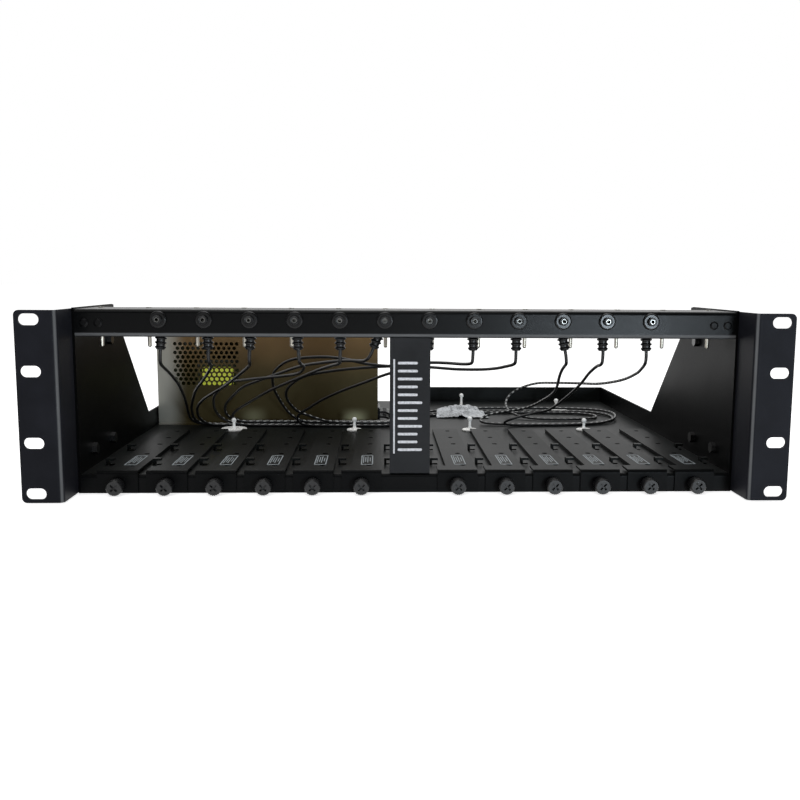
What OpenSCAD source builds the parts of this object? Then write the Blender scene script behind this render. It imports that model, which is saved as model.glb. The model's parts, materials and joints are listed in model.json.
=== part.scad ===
// Rack chassis that holds twelve plug-powered desktop units side by side, with its own power supply.
// Lengths are in millimetres. X runs to the right, Y to the rear and Z up.
// The origin lies on the standing surface, under the middle of the chassis.

/* [Chassis] */
// Width over the two side walls
body_w = 431.8; // [400:0.1:450]
// Height of the side walls at the front
body_h = 120.65; // [112:0.05:135]
// Depth from the front lip to the rear edge
body_d = 381; // [370:1:450]
// Distance from the face of the ears back to the front lip
setback = 30; // [24:1:45]
// Thickness of the chassis sheet
sheet_t = 1.5; // [1.2:0.1:2]
// Outer radius of the sheet's bends
bend_r = 2.4; // [2.2:0.1:3]
// Height of the upper face of the tray floor
floor_z = 12.3; // [11.5:0.1:16]
// Height of the rear wall and of the low stretch of the side walls
low_wall_h = 27.3; // [20:0.1:40]
// Depth of the full-height stretch of the side walls
tall_wall_d = 90; // [80:1:120]
// Depth over which the side walls slope down
slope_d = 99.5; // [60:0.5:140]
// Width of the open stretch of the rear edge, behind the power supply
rear_open_w = 220; // [200:1:230]
// Width of the flange along the foot of each side wall
foot_w = 12; // [8:1:20]

/* [Rack ears] */
// Distance from the ends of a side wall to the ends of its ear
ear_trim = 0.625; // [0.3:0.005:3]
// Width of the slotted flange
ear_flange_w = 25.4; // [22:0.1:30]
// Thickness of the ears
ear_t = 2; // [1.5:0.1:3]
// Depth of the leg that lies along the side wall
ear_leg_d = 128; // [110:1:140]
// Corner radius of the flange
ear_corner_r = 3.2; // [1:0.1:6]
// Distance from the outer edge of an ear to the middle of its slots
slot_inset = 8.73; // [7.5:0.01:10]
// Length of a rack slot
slot_l = 12.7; // [8:0.1:14]
// Height of a rack slot
slot_h = 7.1; // [6:0.1:8]
// Distance from the ends of a side wall to the middles of the outer rack slots
slot_row_inset = 6.35; // [5:0.05:12]
// Height between the inner two rack slots
slot_rows_inner = 44.45; // [40:0.05:60]

/* [Top rail] */
// Height of the rail's front face
rail_h = 17.7; // [16:0.1:22]
// Depth of the rail's top flange
rail_d = 44; // [40:1:60]
// Drop of the rail's top below the top of the side walls
rail_drop = 0.85; // [0.7:0.05:3]
// Depth of the return along the rail's lower edge
rail_return_d = 5; // [4:0.5:6]
// Diameter of a guide pin
pin_d = 2.6; // [2:0.1:4]
// Length of a guide pin below the rail's top flange
pin_l = 24.8; // [20:0.1:35]
// Distance from the rail's face back to the guide pins
pin_setback = 32; // [28:1:36]

/* [Bays] */
// Distance from the outer face of a side wall to the first bay
bay_margin = 9.525; // [9:0.005:14]
// Number of slot plates on each side of the centre strut
bays_per_side = 6; // [2:1:6]
// Gap between the front lips of two slot plates
plate_spacing = 5.35; // [5:0.05:8]
// Depth of a slot plate
plate_d = 176.4; // [150:0.1:185]
// Thickness of a slot plate
plate_t = 1.2; // [1:0.1:1.5]
// Height of the turned-down edges that a slot plate stands on
plate_edge_h = 1.5; // [1:0.1:2]
// Width of the notch along a slot plate's left edge
notch_w = 6.1; // [5:0.1:7]
// Distance from a slot plate's front face to its notch
notch_start = 16; // [12:0.5:25]
// Diameter of the holes along a slot plate
plate_hole_d = 4; // [2:0.1:6]
// Distance from a slot plate's right edge to its row of holes
hole_line_inset = 8.4; // [5:0.1:9]
// Clearance between a slot plate and the front lip, and under its lip
plate_gap = 0.2; // [0.1:0.05:0.4]
// Height of a floor hook
hook_h = 4.5; // [3:0.1:8]
// Depth of a floor hook
hook_w = 5; // [4:0.1:8]
// Reach of a floor hook's arm
hook_arm = 4; // [2:0.1:5]
// Distance from the front lip back to the first row of hooks
hook_first = 35; // [28:1:45]
// Distance from the first row of hooks to the second
hook_step = 56; // [40:1:70]

/* [Thumbscrews] */
// Diameter of a thumbscrew's knob
knob_d = 10.5; // [8:0.1:10.8]
// Length of a thumbscrew's knob
knob_l = 9.8; // [7:0.1:14]
// Number of grooves round a knob
knob_grooves = 24; // [12:1:36]
// Diameter of the screw
screw_d = 4; // [3:0.1:5]
// Length of the screw behind the knob
screw_l = 9.6; // [8:0.1:14]
// Height of the screw above the standing surface
screw_z = 5.6; // [5.5:0.1:6.2]

/* [Plugs] */
// Distance from the outer face of a side wall to the first parked plug, with no shift
plug_margin = 56.4; // [40:0.1:70]
// Shift of the row of plugs off the middle of the rail
plug_shift = -2; // [-6:0.5:6]
// Distance from the rail's top down to the plugs
plug_drop = 6.5; // [6.3:0.1:8]
// Diameter of a grommet's front ring
grommet_d = 11; // [9:0.1:12]
// Thickness of a grommet's front ring
grommet_ring_t = 1.6; // [1:0.1:3]
// Diameter of a plug's barrel
barrel_d = 5.5; // [4:0.1:6]
// Bore of a plug's barrel
barrel_bore = 2.1; // [1:0.1:2.6]
// Length of barrel in front of the rail
barrel_proud = 4.6; // [4:0.1:12]
// Diameter of a plug's moulded body
plug_body_d = 9.5; // [7:0.1:9.8]
// Length of a plug's moulded body
plug_body_l = 14; // [12:0.1:18]
// Reach of a plug's strain relief below the plug's axis
relief_reach = 20; // [15:0.1:24]
// Widest diameter of the strain relief
relief_d = 9; // [6:0.1:9]
// Diameter of the strain relief at its tip
relief_tip_d = 5; // [3.5:0.1:6]
// Diameter of a lead
lead_d = 2.2; // [1.8:0.1:2.4]

/* [Centre strut] */
// Width of the strut, which carries the name plate
strut_w = 26.4; // [20:0.1:30]
// Depth of the strut's side returns
strut_side_d = 5; // [4:0.5:5.5]
// Depth of the strut's foot
strut_foot_d = 16; // [12:0.5:24]

/* [Power supply] */
// Width of the power supply
supply_w = 192; // [180:1:205]
// Height of the power supply
supply_h = 92; // [85:1:105]
// Distance from the front lip back to the power supply
supply_setback = 220; // [212:1:230]
// Thickness of the power supply's sheet
supply_t = 1.2; // [0.8:0.1:1.5]
// Gap between the power supply and the side wall
supply_gap = 1; // [0.5:0.1:3]
// Diameter of a vent hole
vent_d = 3.2; // [2.4:0.1:3.5]
// Distance from one vent hole to the next in a row
vent_pitch = 4.45; // [4.2:0.05:5.2]
// Number of holes in a row
vent_cols = 13; // [6:1:14]
// Number of rows of vent holes
vent_rows = 10; // [4:1:11]
// Distance from the supply's left edge to the first vent hole
vent_left = 15.6; // [10:0.1:25]
// Distance from the supply's top to the first row of vent holes
vent_top = 21.4; // [15:0.1:28]

/* [Cable posts] */
// Diameter of a large post base
post_base_large = 22; // [16:0.5:26]
// Diameter of a small post base
post_base_small = 13; // [9:0.5:16]
// Thickness of a post base
post_base_t = 1.6; // [1:0.1:3]
// Diameter of a post
post_d = 2.4; // [1.6:0.1:3.5]
// Diameter of the ball on a post
post_ball_d = 4.2; // [3:0.1:6]
// Gap between the slot plates and the front row of posts
post_gap = 0.8; // [0.3:0.1:6]

/* [Hidden] */
bay_count = 2 * bays_per_side;
bay_pitch = (body_w - 2 * bay_margin) / (bay_count + 1);
plate_w = bay_pitch - plate_spacing;
plug_count = bay_count;
plug_pitch = (body_w - 2 * plug_margin) / (plug_count - 1);

// Smoothness of round faces, of small round parts and of bend arcs
$fn = 48;
small_fn = 24;
arc_steps = 6;
// Overrun that lets every cut break through
cut = 0.5;

// Places on the chassis, measured back from the face of the ears
total_d = setback + body_d;
half_w = body_w / 2;
inner_half_w = half_w - sheet_t;
floor_t = sheet_t;
rear_y = total_d;
plates_front = setback - plate_gap - plate_t;
ear_h = body_h - 2 * ear_trim;
ear_z = ear_trim;
slot_rows_outer = body_h - 2 * slot_row_inset;
rail_top = body_h - rail_drop;
rail_bottom = rail_top - rail_h;
rail_under = rail_top - sheet_t;
plug_z = rail_top - plug_drop;
inner_bend_r = bend_r - sheet_t;

// Clearance round shanks and pins, and between stacked sheets
shank_fit = 0.06;
rest_gap = 0.1;

// Side flanges of the tray and the tray's rear flange
tray_flange_h = 8.8;
tray_flange_y = 45;

// Fasteners of the ears: places as shares of the leg's depth and of the ear's height
ear_screw_shares = [[0.47, 0.2], [0.82, 0.2], [0.47, 0.9], [0.82, 0.8]];
ear_screw_d = 4;
ear_screw_hole_d = ear_screw_d + 2 * shank_fit;
ear_head_d = 8;
ear_head_t = 2.4;
ear_nut_d = 8.1;
ear_nut_t = 3.2;

// Rivets
rivet_d = 3.2;
rivet_head_d = 5.4;
rivet_head_t = 1;
rivet_hole_d = rivet_d + 2 * shank_fit;
rail_tab_w = 20;
rail_rivet_shares = [0.3, 0.75];
tray_rivet_shares = [0.32, 0.52, 0.72, 0.92];
strut_rivet_x = 6;

// Holes for the thumbscrews, and the press-in nuts behind the front lip
screw_hole_d = screw_d + 2 * shank_fit;
nut_d = 7;
nut_l = 4.5;

// Grommets
grommet_neck_d = 8.6;
grommet_rear_d = 9.6;
grommet_rear_t = 1.2;
grommet_dome_r = 1;

// Plug details: where the strain relief hangs, its ribs and how far each plug is turned
relief_y_share = 0.62;
relief_ribs = 4;
relief_neck_share = 0.72;
plug_turns = [-4.6, 1.2, -4.6, 3.2, -1, -22, 0, 1.8, 0.8, 11.5, 0.8, 2];
barrel_hole_l = 9;
barrel_lead_in = 0.5;

// Slot plate details: the holes' places as shares of the plate's depth
plate_hole_shares = [0.1, 0.348, 0.575, 0.745, 0.93];
plate_corner_r = 1.5;

// Thumbscrew details
knob_neck_share = 0.86;
knob_neck_l = 1.6;
groove_d = 0.9;
knob_edge = 0.8;
recess_w = 1.3;
recess_l = 5.6;
recess_depth = 2.2;
screw_tip_l = 1;

// Power supply: outline, feet and inner parts
supply_x0 = -inner_half_w + supply_gap;
supply_x1 = supply_x0 + supply_w;
supply_y0 = setback + supply_setback;
supply_rear_gap = 2.5;
supply_y1 = rear_y - supply_rear_gap;
supply_z0 = floor_z;
supply_z1 = supply_z0 + supply_h;
supply_foot_d = 5.5;
vent_row_pitch = vent_pitch * sqrt(3) / 2;
board_t = 1.6;
board_margin_x = 10;
board_margin_y = 12;
board_lift = 7;
board_z = supply_z0 + supply_t + board_lift;
board_y0 = supply_y0 + board_margin_y;
standoff_d = 6;
standoff_inset = 6;
core_w = 38;
core_d = 32;
core_h = 40;
core_leg_t = 6;
winding_proud = 5;
transformer_inset_x = 50;
transformer_x = supply_x0 + transformer_inset_x;
transformer_gap_y = 10;
large_cap_d = 25;
large_cap_h = 36;
mid_cap_d = 13;
mid_cap_h = 22;
small_cap_d = 10;
small_cap_h = 18;
cap_column_shares = [0.6, 0.7, 0.8];
fin_t = 1.6;
fin_pitch = 14.8;
fin_reach = 6;
sink_h = 38;
sink_l = 46;
sink_fins = 4;
sink_shares = [[0.36, 0.5], [0.9, 0.76]];
terminal_w = 9;
terminal_h = 12;
inlet_inset_x = 40;
inlet_lift = 34;
inlet_x = supply_x0 + inlet_inset_x;
inlet_z = supply_z0 + inlet_lift;
inlet_flange_w = 50;
inlet_flange_h = 31;
inlet_body_w = 28;
inlet_body_h = 27;
inlet_body_d = 24;
board_y1 = supply_y1 - board_margin_y - inlet_body_d;
socket_w = 24;
socket_h = 16;
socket_d = 16;
socket_chamfer = 4;
socket_raise = 4.5;
contact_w = 4;
contact_t = 2;
contact_l = 11;
contact_x = 7;
contact_z = 2.5;
drawer_w = 24;
drawer_h = 7.2;
drawer_d = 17;
drawer_drop = 9;
drawer_face_t = 1;
drawer_face_margin = 1;
drawer_gap = 0.15;
fuse_d = 5;
fuse_l = 20;
inlet_screw_d = 3;
inlet_screw_head_d = 5.6;
inlet_screw_head_t = 1.4;

// Gland on the supply's right side: a grid of lead holes
gland_cols = 6;
gland_rows = 2;
gland_first_y = 262;
gland_pitch_y = 4.2;
gland_first_z = 17;
gland_pitch_z = 4.5;
gland_margin = 3.4;
gland_proud = 2;
gland_rear_t = 1.2;
gland_lip = 1.2;

// Cable posts: one row right behind the slot plates, and two posts further back.
// Each has a share of the chassis width, and last its length as a share of the large base.
// The two at the rear also have a share of the depth behind the slot plates.
plates_rear = plates_front + plate_d;
front_large_post_share = [-0.331, 0.3];
front_small_post_shares = [[-0.095, 0.36], [0.132, 0.39], [0.359, 0.32]];
rear_post_shares = [[0.141, 0.669, 0.57], [0.358, 0.655, 0.36]];
post_foot_d = 4.4;
post_foot_h = 1.6;

// Routes of the leads, from the gland to the plug, measured back from the ear face.
// The points are chosen by hand.
lead_sides = 8;
lead_steps = 2;
LEAD_ROUTES = [
    [
        [-19.4, 262, 17], [-16.4, 262, 17], [-12.2, 260.2, 16.2], [-10.5, 256, 15],
        [-10.5, 251, 14], [-13.6, 244.4, 13.6], [-20, 241.5, 13.6], [-29, 241.5, 13.6],
        [-50, 241.5, 13.6], [-90, 241.5, 13.6], [-130, 241.5, 13.6], [-165, 241.5, 13.6],
        [-173, 240.6, 14], [-179, 237, 16], [-181.6, 229, 20.5], [-180.6, 213, 29],
        [-176.5, 182, 43], [-171.5, 135, 60], [-168.3, 92, 72.5], [-165.8, 62, 79.6],
        [-164.6, 49, 82.8], [-163.9, 43.4, 85.4], [-163.4, 41.5, 89.8], [-163.1, 41.5, 93.4]
    ],
    [
        [-19.4, 266.2, 17], [-16.4, 266.2, 17], [-10.5, 264, 16.4], [-8, 259, 15], [-8, 251, 14],
        [-11.4, 242.6, 13.6], [-20, 239, 13.6], [-29, 239, 13.6], [-50, 239, 13.6],
        [-90, 239, 13.6], [-130, 239, 13.6], [-160, 239, 13.6], [-169, 238.4, 14],
        [-175, 234.6, 16], [-178, 226, 21], [-177, 212, 29], [-173.4, 194, 37], [-163, 158, 53],
        [-152, 128, 63.5], [-138.6, 84, 76.4], [-134, 62, 81], [-132.5, 49, 83.2],
        [-132.2, 43.4, 85.4], [-132.2, 41.5, 89.6], [-132.1, 41.5, 93.3]
    ],
    [
        [-19.4, 270.4, 17], [-16.4, 270.4, 17], [-8.5, 268, 16.4], [-5.5, 262, 15],
        [-5.5, 251, 14], [-9.3, 240.6, 13.6], [-20, 236.5, 13.6], [-29, 236.5, 13.6],
        [-50, 236.5, 13.6], [-90, 236.5, 13.6], [-130, 236.5, 13.6], [-155, 236.5, 13.6],
        [-164, 235.6, 14.2], [-170.6, 231, 17], [-173.4, 221, 23.6], [-171, 205, 33],
        [-162, 184, 42.5], [-150, 163, 50.5], [-138, 143, 58], [-124, 110, 68.5],
        [-113.6, 82, 76.6], [-108.4, 62, 81], [-106.2, 49, 83.2], [-105.7, 43.4, 85.4],
        [-105.4, 41.5, 89.8], [-105.1, 41.5, 93.4]
    ],
    [
        [-19.4, 274.6, 17], [-16.4, 274.6, 17], [-6.4, 272, 16.4], [-3, 265, 15], [-3, 251, 14],
        [-7.2, 238.8, 13.6], [-20, 234, 13.6], [-29, 234, 13.6], [-50, 234, 13.6],
        [-90, 234, 13.6], [-124, 234, 13.6], [-138, 233.8, 14.4], [-149, 230.6, 17.4],
        [-156.4, 224, 23.4], [-158.6, 213, 32.4], [-156, 200, 43.2], [-148, 189, 51.4],
        [-139, 178, 57.4], [-122, 156, 61.6], [-95, 127, 67], [-80, 107, 71], [-73.8, 85, 76.4],
        [-72, 64, 80.8], [-72.5, 49.4, 83.4], [-72.9, 43.4, 85.6], [-73.1, 41.5, 89.8],
        [-73.4, 41.5, 93.4]
    ],
    [
        [-19.4, 266.2, 21.5], [-15.4, 266.2, 21.5], [-9.4, 264.2, 20], [-6.7, 259, 18],
        [-6.7, 251, 16.4], [-10.4, 241.6, 16.1], [-20, 237.7, 16.1], [-29, 237.7, 16.1],
        [-50, 237.7, 16.1], [-90, 237.7, 16.1], [-122, 237.7, 16.1], [-135, 237.6, 16.3],
        [-143, 235.6, 18], [-145.8, 229, 22.4], [-141, 219, 28.6], [-126.4, 195, 39],
        [-107.4, 165, 51.6], [-90, 140, 61], [-76, 115, 68.6], [-63, 88, 75.8], [-52.6, 66, 80.8],
        [-47.4, 50, 83.4], [-46.2, 43.6, 85.4], [-45.9, 41.5, 89.6], [-45.8, 41.5, 93.3]
    ],
    [
        [-19.4, 262, 21.5], [-15.4, 262, 21.5], [-11, 260, 20], [-9.2, 256, 18], [-9.2, 251, 16.4],
        [-12.4, 243.4, 16.1], [-20, 240.2, 16.1], [-29, 240.2, 16.1], [-50, 240.2, 16.1],
        [-90, 240.2, 16.1], [-130, 240.2, 16.1], [-141, 240.2, 16.3], [-149.4, 238.6, 19.6],
        [-152.6, 232.6, 26], [-150.6, 223.4, 33], [-145, 211.6, 39.4], [-139.6, 199, 44.6],
        [-130, 184, 52.8], [-115, 169, 59.6], [-97, 145, 67.6], [-77.4, 120, 75.6],
        [-58, 95, 80.6], [-43, 74, 83.6], [-34.6, 60, 84.6], [-30.2, 49.8, 85.6],
        [-27.4, 43.8, 87.8], [-25.3, 41.5, 91.4], [-24, 41.5, 94.8]
    ],
    [
        [-19.4, 278.8, 17], [-16.4, 278.8, 17], [-4.4, 276, 16.4], [-0.5, 268, 15],
        [-0.5, 251, 14], [-5, 236.8, 13.6], [-20, 231.5, 13.6], [-29, 231.5, 13.6],
        [-40, 231.5, 13.6], [-62, 231.5, 13.6], [-78, 231.4, 13.9], [-87, 228.6, 16],
        [-90, 221, 21], [-86, 211, 27.6], [-79, 198.6, 33], [-66.6, 180, 42.5], [-50.4, 160, 52],
        [-31, 138, 61.6], [-13, 118, 70.2], [0, 98, 75], [8.4, 76, 79.4], [11.6, 62, 81.6],
        [12.4, 49, 83.4], [12.5, 43.4, 85.4], [12.5, 41.5, 89.6], [12.5, 41.5, 93.3]
    ],
    [
        [-19.4, 270.4, 21.5], [-15.4, 270.4, 21.5], [-7.4, 268.4, 20], [-4.2, 262, 18],
        [-4.2, 251, 16.4], [-8.2, 239.7, 16.1], [-20, 235.2, 16.1], [-29, 235.2, 16.1],
        [-45, 235.2, 16.1], [-70, 235.2, 16.1], [-84, 235, 16.8], [-93, 233, 20.6],
        [-99.6, 227, 28], [-105.4, 214, 41], [-107.6, 200, 51.4], [-105.6, 182, 63],
        [-100, 170, 70], [-91, 160, 76], [-78, 150, 79.2], [-60, 140, 80.6], [-45, 130, 79.8],
        [-30, 120, 77.4], [-13, 110, 76.6], [2, 103, 78], [15, 95, 80.4], [27, 82, 81.4],
        [36, 65, 82.2], [40.6, 51, 83.6], [41.8, 43.8, 85.4], [42, 41.5, 89.6], [42.1, 41.5, 93.3]
    ],
    [
        [-19.4, 274.6, 21.5], [-15.4, 274.6, 21.5], [-5.2, 272.4, 20], [-1.7, 265, 18],
        [-1.7, 251, 16.4], [-6.1, 237.8, 16.1], [-20, 232.7, 16.1], [-29, 232.7, 16.1],
        [-38, 232.7, 16.1], [-56, 232.6, 16.5], [-68, 231.4, 18.2], [-80, 228.6, 22.6],
        [-90, 221.6, 28], [-96.4, 209, 38], [-96.4, 194, 47.4], [-90, 180, 56], [-77, 165, 64],
        [-54, 150, 69.4], [-31, 140, 72.6], [-13, 131, 74.4], [4, 125, 75], [20, 119, 74.8],
        [36, 110, 74.4], [52, 97, 75.4], [62, 82, 77.6], [67.8, 66, 80.6], [70.2, 50.6, 83.2],
        [70.7, 43.6, 85.4], [70.7, 41.5, 89.6], [70.7, 41.5, 93.3]
    ],
    [
        [-19.4, 283, 17], [-14, 283, 16.6], [-6, 283.8, 14.8], [4, 287, 13.6], [24, 299, 13.6],
        [52, 318, 13.6], [84, 324, 13.6], [126, 324, 13.6], [168, 322, 13.6], [188, 312, 13.6],
        [197, 292, 13.6], [192, 266, 13.6], [174, 248, 13.6], [146, 240.6, 13.6], [116, 239, 13.6],
        [92, 240.2, 13.6], [76, 243.8, 13.9], [70.2, 250.4, 15.4], [76.8, 257, 19],
        [91.4, 245.6, 24], [108.8, 226, 30.6], [118, 196, 41.4], [119.4, 165, 50.4],
        [117, 138, 58.6], [112.4, 106, 68.8], [109.4, 82, 76], [107.4, 62, 81], [106, 49.4, 83.6],
        [105, 43.4, 86], [104.2, 41.5, 90.2], [103.5, 41.5, 93.7]
    ],
    [
        [-19.4, 283, 21.5], [-13, 283, 20.6], [-3, 284.6, 17.6], [8, 291, 16.2], [28, 304, 16.1],
        [54, 321, 16.1], [86, 326.6, 16.1], [128, 326.6, 16.1], [170, 324, 16.1], [191, 313, 16.1],
        [199.6, 292, 16.1], [194, 264, 15.4], [176, 245, 14], [148, 237.6, 13.6], [120, 236, 13.6],
        [104, 235, 13.7], [94, 232.6, 14.4], [88.8, 227.4, 16.8], [92.6, 221.8, 20.4],
        [103, 220.4, 23.8], [115, 217.4, 27], [124.6, 206, 31.6], [131.6, 168, 47.4],
        [133.2, 130, 61], [131.4, 92, 73.4], [129.8, 62, 81], [129.3, 49, 83.2],
        [129.2, 43.4, 85.4], [129.1, 41.5, 89.6], [129.1, 41.5, 93.3]
    ],
    [
        [-19.4, 278.8, 21.5], [-13, 279, 20.2], [-3, 280, 16.6], [8, 283.6, 14.4], [28, 294, 13.6],
        [54, 308, 13.6], [86, 313, 13.6], [126, 313, 13.6], [160, 311, 13.6], [177, 303, 13.6],
        [183, 290, 13.6], [177, 277, 13.6], [160, 270, 13.6], [136, 270, 13.6], [118, 276, 13.9],
        [106.6, 288, 15.4], [101.6, 304, 18.4], [101.8, 318, 23], [107, 324, 30], [116, 318, 37],
        [127, 294, 44], [138, 262, 48], [151, 222, 52], [160, 182, 56], [167, 138, 63.6],
        [168, 100, 72.4], [164, 70, 79.4], [160.2, 52, 82.8], [158.7, 43.8, 85.4],
        [158.4, 41.5, 89.6], [158.2, 41.5, 93.3]
    ]
];

// Points of an arc in a plane
function arc(centre, r, from, to) =
    [
        for (i = [0:arc_steps])
            let (a = from + (to - from) * i / arc_steps)
                centre + r * [cos(a), sin(a)]
    ];

// Middle of a bay, counted from the left with the strut's place left out
function bay_x(n) = bay_pitch * (n <= bays_per_side ? n - bays_per_side - 1 : n - bays_per_side);

// Place of a parked plug along the rail
function plug_x(n) = plug_shift + plug_pitch * (n - (plug_count + 1) / 2);

// Middles of the gaps between bays, in bay pitches, where hooks and guide pins stand
gap_steps = [for (k = [-bays_per_side - 1:bays_per_side]) k + 1 / 2];

// A point on a smooth curve through p1 and p2, with p0 and p3 as its neighbours
function blend_point(p0, p1, p2, p3, t) =
    (2 * p1 + (p2 - p0) * t + (2 * p0 - 5 * p1 + 4 * p2 - p3) * t * t
    + (3 * p1 - p0 - 3 * p2 + p3) * t * t * t) / 2;

// A route with steps between its own points
function smooth_route(p) = concat(
    [
        for (i = [0:len(p) - 2], s = [0:lead_steps - 1])
            blend_point(p[max(i - 1, 0)], p[i], p[i + 1], p[min(i + 2, len(p) - 1)], s / lead_steps)
    ],
    [p[len(p) - 1]]
);

function unit(v) = v / norm(v);

// Direction of a route at one of its points
function heading(p, i) = unit(p[min(i + 1, len(p) - 1)] - p[max(i - 1, 0)]);

// Side vector carried along a route without twist
function carry(side, direction) = unit(side - direction * (side * direction));

function sides_along(p, i, side) =
    i >= len(p) ? [] : let (s = carry(side, heading(p, i))) concat([s], sides_along(p, i + 1, s));

// Everything is drawn from the ear face and then centred over the origin
module placed() {
    translate([0, -total_d / 2, 0])
        children();
}

// A section drawn in depth and height, drawn out across the chassis
module across(x0, x1, points) {
    translate([x0, 0, 0])
        rotate([90, 0, 90])
            linear_extrude(x1 - x0)
                polygon(points);
}

// A block between two corners
module block(low, high) {
    translate(low)
        cube(high - low);
}

// A round bar along the depth, from y0 to y1
module rod_y(x, z, d, y0, y1) {
    translate([x, y0, z])
        rotate([-90, 0, 0])
            cylinder(d = d, h = y1 - y0);
}

// A round bar across the chassis, from x0 to x1
module rod_x(y, z, d, x0, x1) {
    translate([x0, y, z])
        rotate([0, 90, 0])
            cylinder(d = d, h = x1 - x0);
}

// An upright round bar
module rod_z(x, y, d, z0, z1) {
    translate([x, y, z0])
        cylinder(d = d, h = z1 - z0);
}

// Tray: floor, front lip, rear wall, side flanges and the lanced hooks
module tray() {
    lip_y = setback;
    section = concat(
        [[lip_y, 0]],
        arc([lip_y + bend_r, floor_z - bend_r], bend_r, 180, 90),
        [[rear_y, floor_z], [rear_y, floor_z - floor_t]],
        arc([lip_y + bend_r, floor_z - bend_r], inner_bend_r, 90, 180),
        [[lip_y + sheet_t, 0]]
    );
    color("#1a1b1c")
        placed()
            difference() {
                union() {
                    across(-inner_half_w, inner_half_w, section);
                    block([-inner_half_w, rear_y - sheet_t, 0], [inner_half_w, rear_y, floor_z]);
                    block(
                        [-half_w + rear_open_w, rear_y - sheet_t, 0],
                        [inner_half_w, rear_y, low_wall_h]
                    );
                    for (s = [-1, 1])
                        block(
                            [min(s * inner_half_w, s * (inner_half_w - sheet_t)),
                                lip_y + tray_flange_y, floor_z - floor_t - tray_flange_h],
                            [max(s * inner_half_w, s * (inner_half_w - sheet_t)),
                                rear_y - 2 * sheet_t, floor_z - floor_t]
                        );
                    for (k = gap_steps, y = hook_rows())
                        hook(k * bay_pitch, y);
                }
                for (k = gap_steps, y = hook_rows())
                    block(
                        [k * bay_pitch + sheet_t / 2, y - hook_w / 2, floor_z - floor_t - cut],
                        [k * bay_pitch + sheet_t / 2 + hook_arm, y + hook_w / 2, floor_z + cut]
                    );
                for (n = [1:bay_count])
                    rod_y(bay_x(n), screw_z, screw_d + 4 * shank_fit, lip_y - cut, lip_y + sheet_t + cut);
                for (x = [-strut_rivet_x, strut_rivet_x])
                    rod_z(x, strut_rivet_y(), rivet_hole_d, floor_z - floor_t - cut, floor_z + cut);
                for (share = tray_rivet_shares)
                    rod_x(
                        setback + share * body_d, tray_rivet_z(), rivet_hole_d,
                        -half_w - cut, half_w + cut
                    );
            }
}

function hook_rows() = [setback + hook_first, setback + hook_first + hook_step];
function strut_rivet_y() = setback + strut_foot_d * 2 / 3;
function tray_rivet_z() = floor_z - floor_t - tray_flange_h / 2;

// One lanced hook: an upright leg with an arm over its own cut-out
module hook(x, y) {
    block(
        [x - sheet_t / 2, y - hook_w / 2, floor_z - floor_t / 2],
        [x + sheet_t / 2, y + hook_w / 2, floor_z + hook_h]
    );
    block(
        [x - sheet_t / 2, y - hook_w / 2, floor_z + hook_h - sheet_t],
        [x + sheet_t / 2 + hook_arm, y + hook_w / 2, floor_z + hook_h]
    );
}

// A side wall, with side -1 on the left and 1 on the right
module side_wall(side) {
    profile = [
        [setback, 0],
        [rear_y, 0],
        [rear_y, low_wall_h],
        [setback + tall_wall_d + slope_d, low_wall_h],
        [setback + tall_wall_d, body_h],
        [setback, body_h]
    ];
    color("#1a1b1c")
        placed()
            difference() {
                union() {
                    across(
                        min(side * inner_half_w, side * half_w),
                        max(side * inner_half_w, side * half_w), profile
                    );
                    wall_side(side, 0, foot_w, setback + sheet_t, rear_y - sheet_t, 0, sheet_t);
                    wall_side(
                        side, 0, rail_tab_w, setback + sheet_t, setback + 2 * sheet_t,
                        rail_bottom + bend_r, rail_top - bend_r
                    );
                }
                for (p = ear_screw_places())
                    rod_x(
                        p[0], p[1], ear_screw_hole_d,
                        side * half_w - 2 * sheet_t, side * half_w + 2 * sheet_t
                    );
                for (share = tray_rivet_shares)
                    rod_x(
                        setback + share * body_d, tray_rivet_z(), rivet_hole_d,
                        side * half_w - 2 * sheet_t, side * half_w + 2 * sheet_t
                    );
                for (x = rail_rivet_xs(side))
                    rod_y(x, rail_rivet_z(), rivet_hole_d, setback, setback + 2 * sheet_t + cut);
            }
}

// A block that reaches inward from the inner face of a side wall
module wall_side(side, from, reach, y0, y1, z0, z1) {
    block(
        [min(side * (inner_half_w - from), side * (inner_half_w - from - reach)), y0, z0],
        [max(side * (inner_half_w - from), side * (inner_half_w - from - reach)), y1, z1]
    );
}

function ear_screw_places() = [for (p = ear_screw_shares) [p[0] * ear_leg_d, ear_z + p[1] * ear_h]];
function rail_rivet_xs(side) = [
    for (share = rail_rivet_shares)
        side * (inner_half_w - share * rail_tab_w)
];
function rail_rivet_z() = (rail_bottom + rail_top) / 2;

// An ear: an L with a long leg and a slotted flange
module ear(side) {
    section = concat(
        arc([ear_t + sheet_t, ear_t + sheet_t], ear_t + sheet_t, 180, 270),
        [[ear_flange_w, 0], [ear_flange_w, ear_t]],
        arc([ear_t + sheet_t, ear_t + sheet_t], sheet_t, 270, 180),
        [[ear_t, ear_leg_d], [0, ear_leg_d]]
    );
    color("#17181a")
        placed()
            mirror([side < 0 ? 1 : 0, 0, 0])
                translate([half_w, 0, ear_z])
                    difference() {
                        linear_extrude(ear_h)
                            polygon(section);
                        for (rows = [slot_rows_outer, slot_rows_inner], up = [-1, 1])
                            translate([ear_flange_w - slot_inset, 0, ear_h / 2 + up * rows / 2])
                                rack_slot();
                        for (top = [0, 1])
                            translate([ear_flange_w, 0, top * ear_h])
                                mirror([0, 0, top])
                                    corner_cut();
                        for (p = ear_screw_shares)
                            translate([-cut, p[0] * ear_leg_d, p[1] * ear_h])
                                rotate([0, 90, 0])
                                    cylinder(d = ear_screw_hole_d, h = ear_t + 2 * cut);
                    }
}

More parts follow.
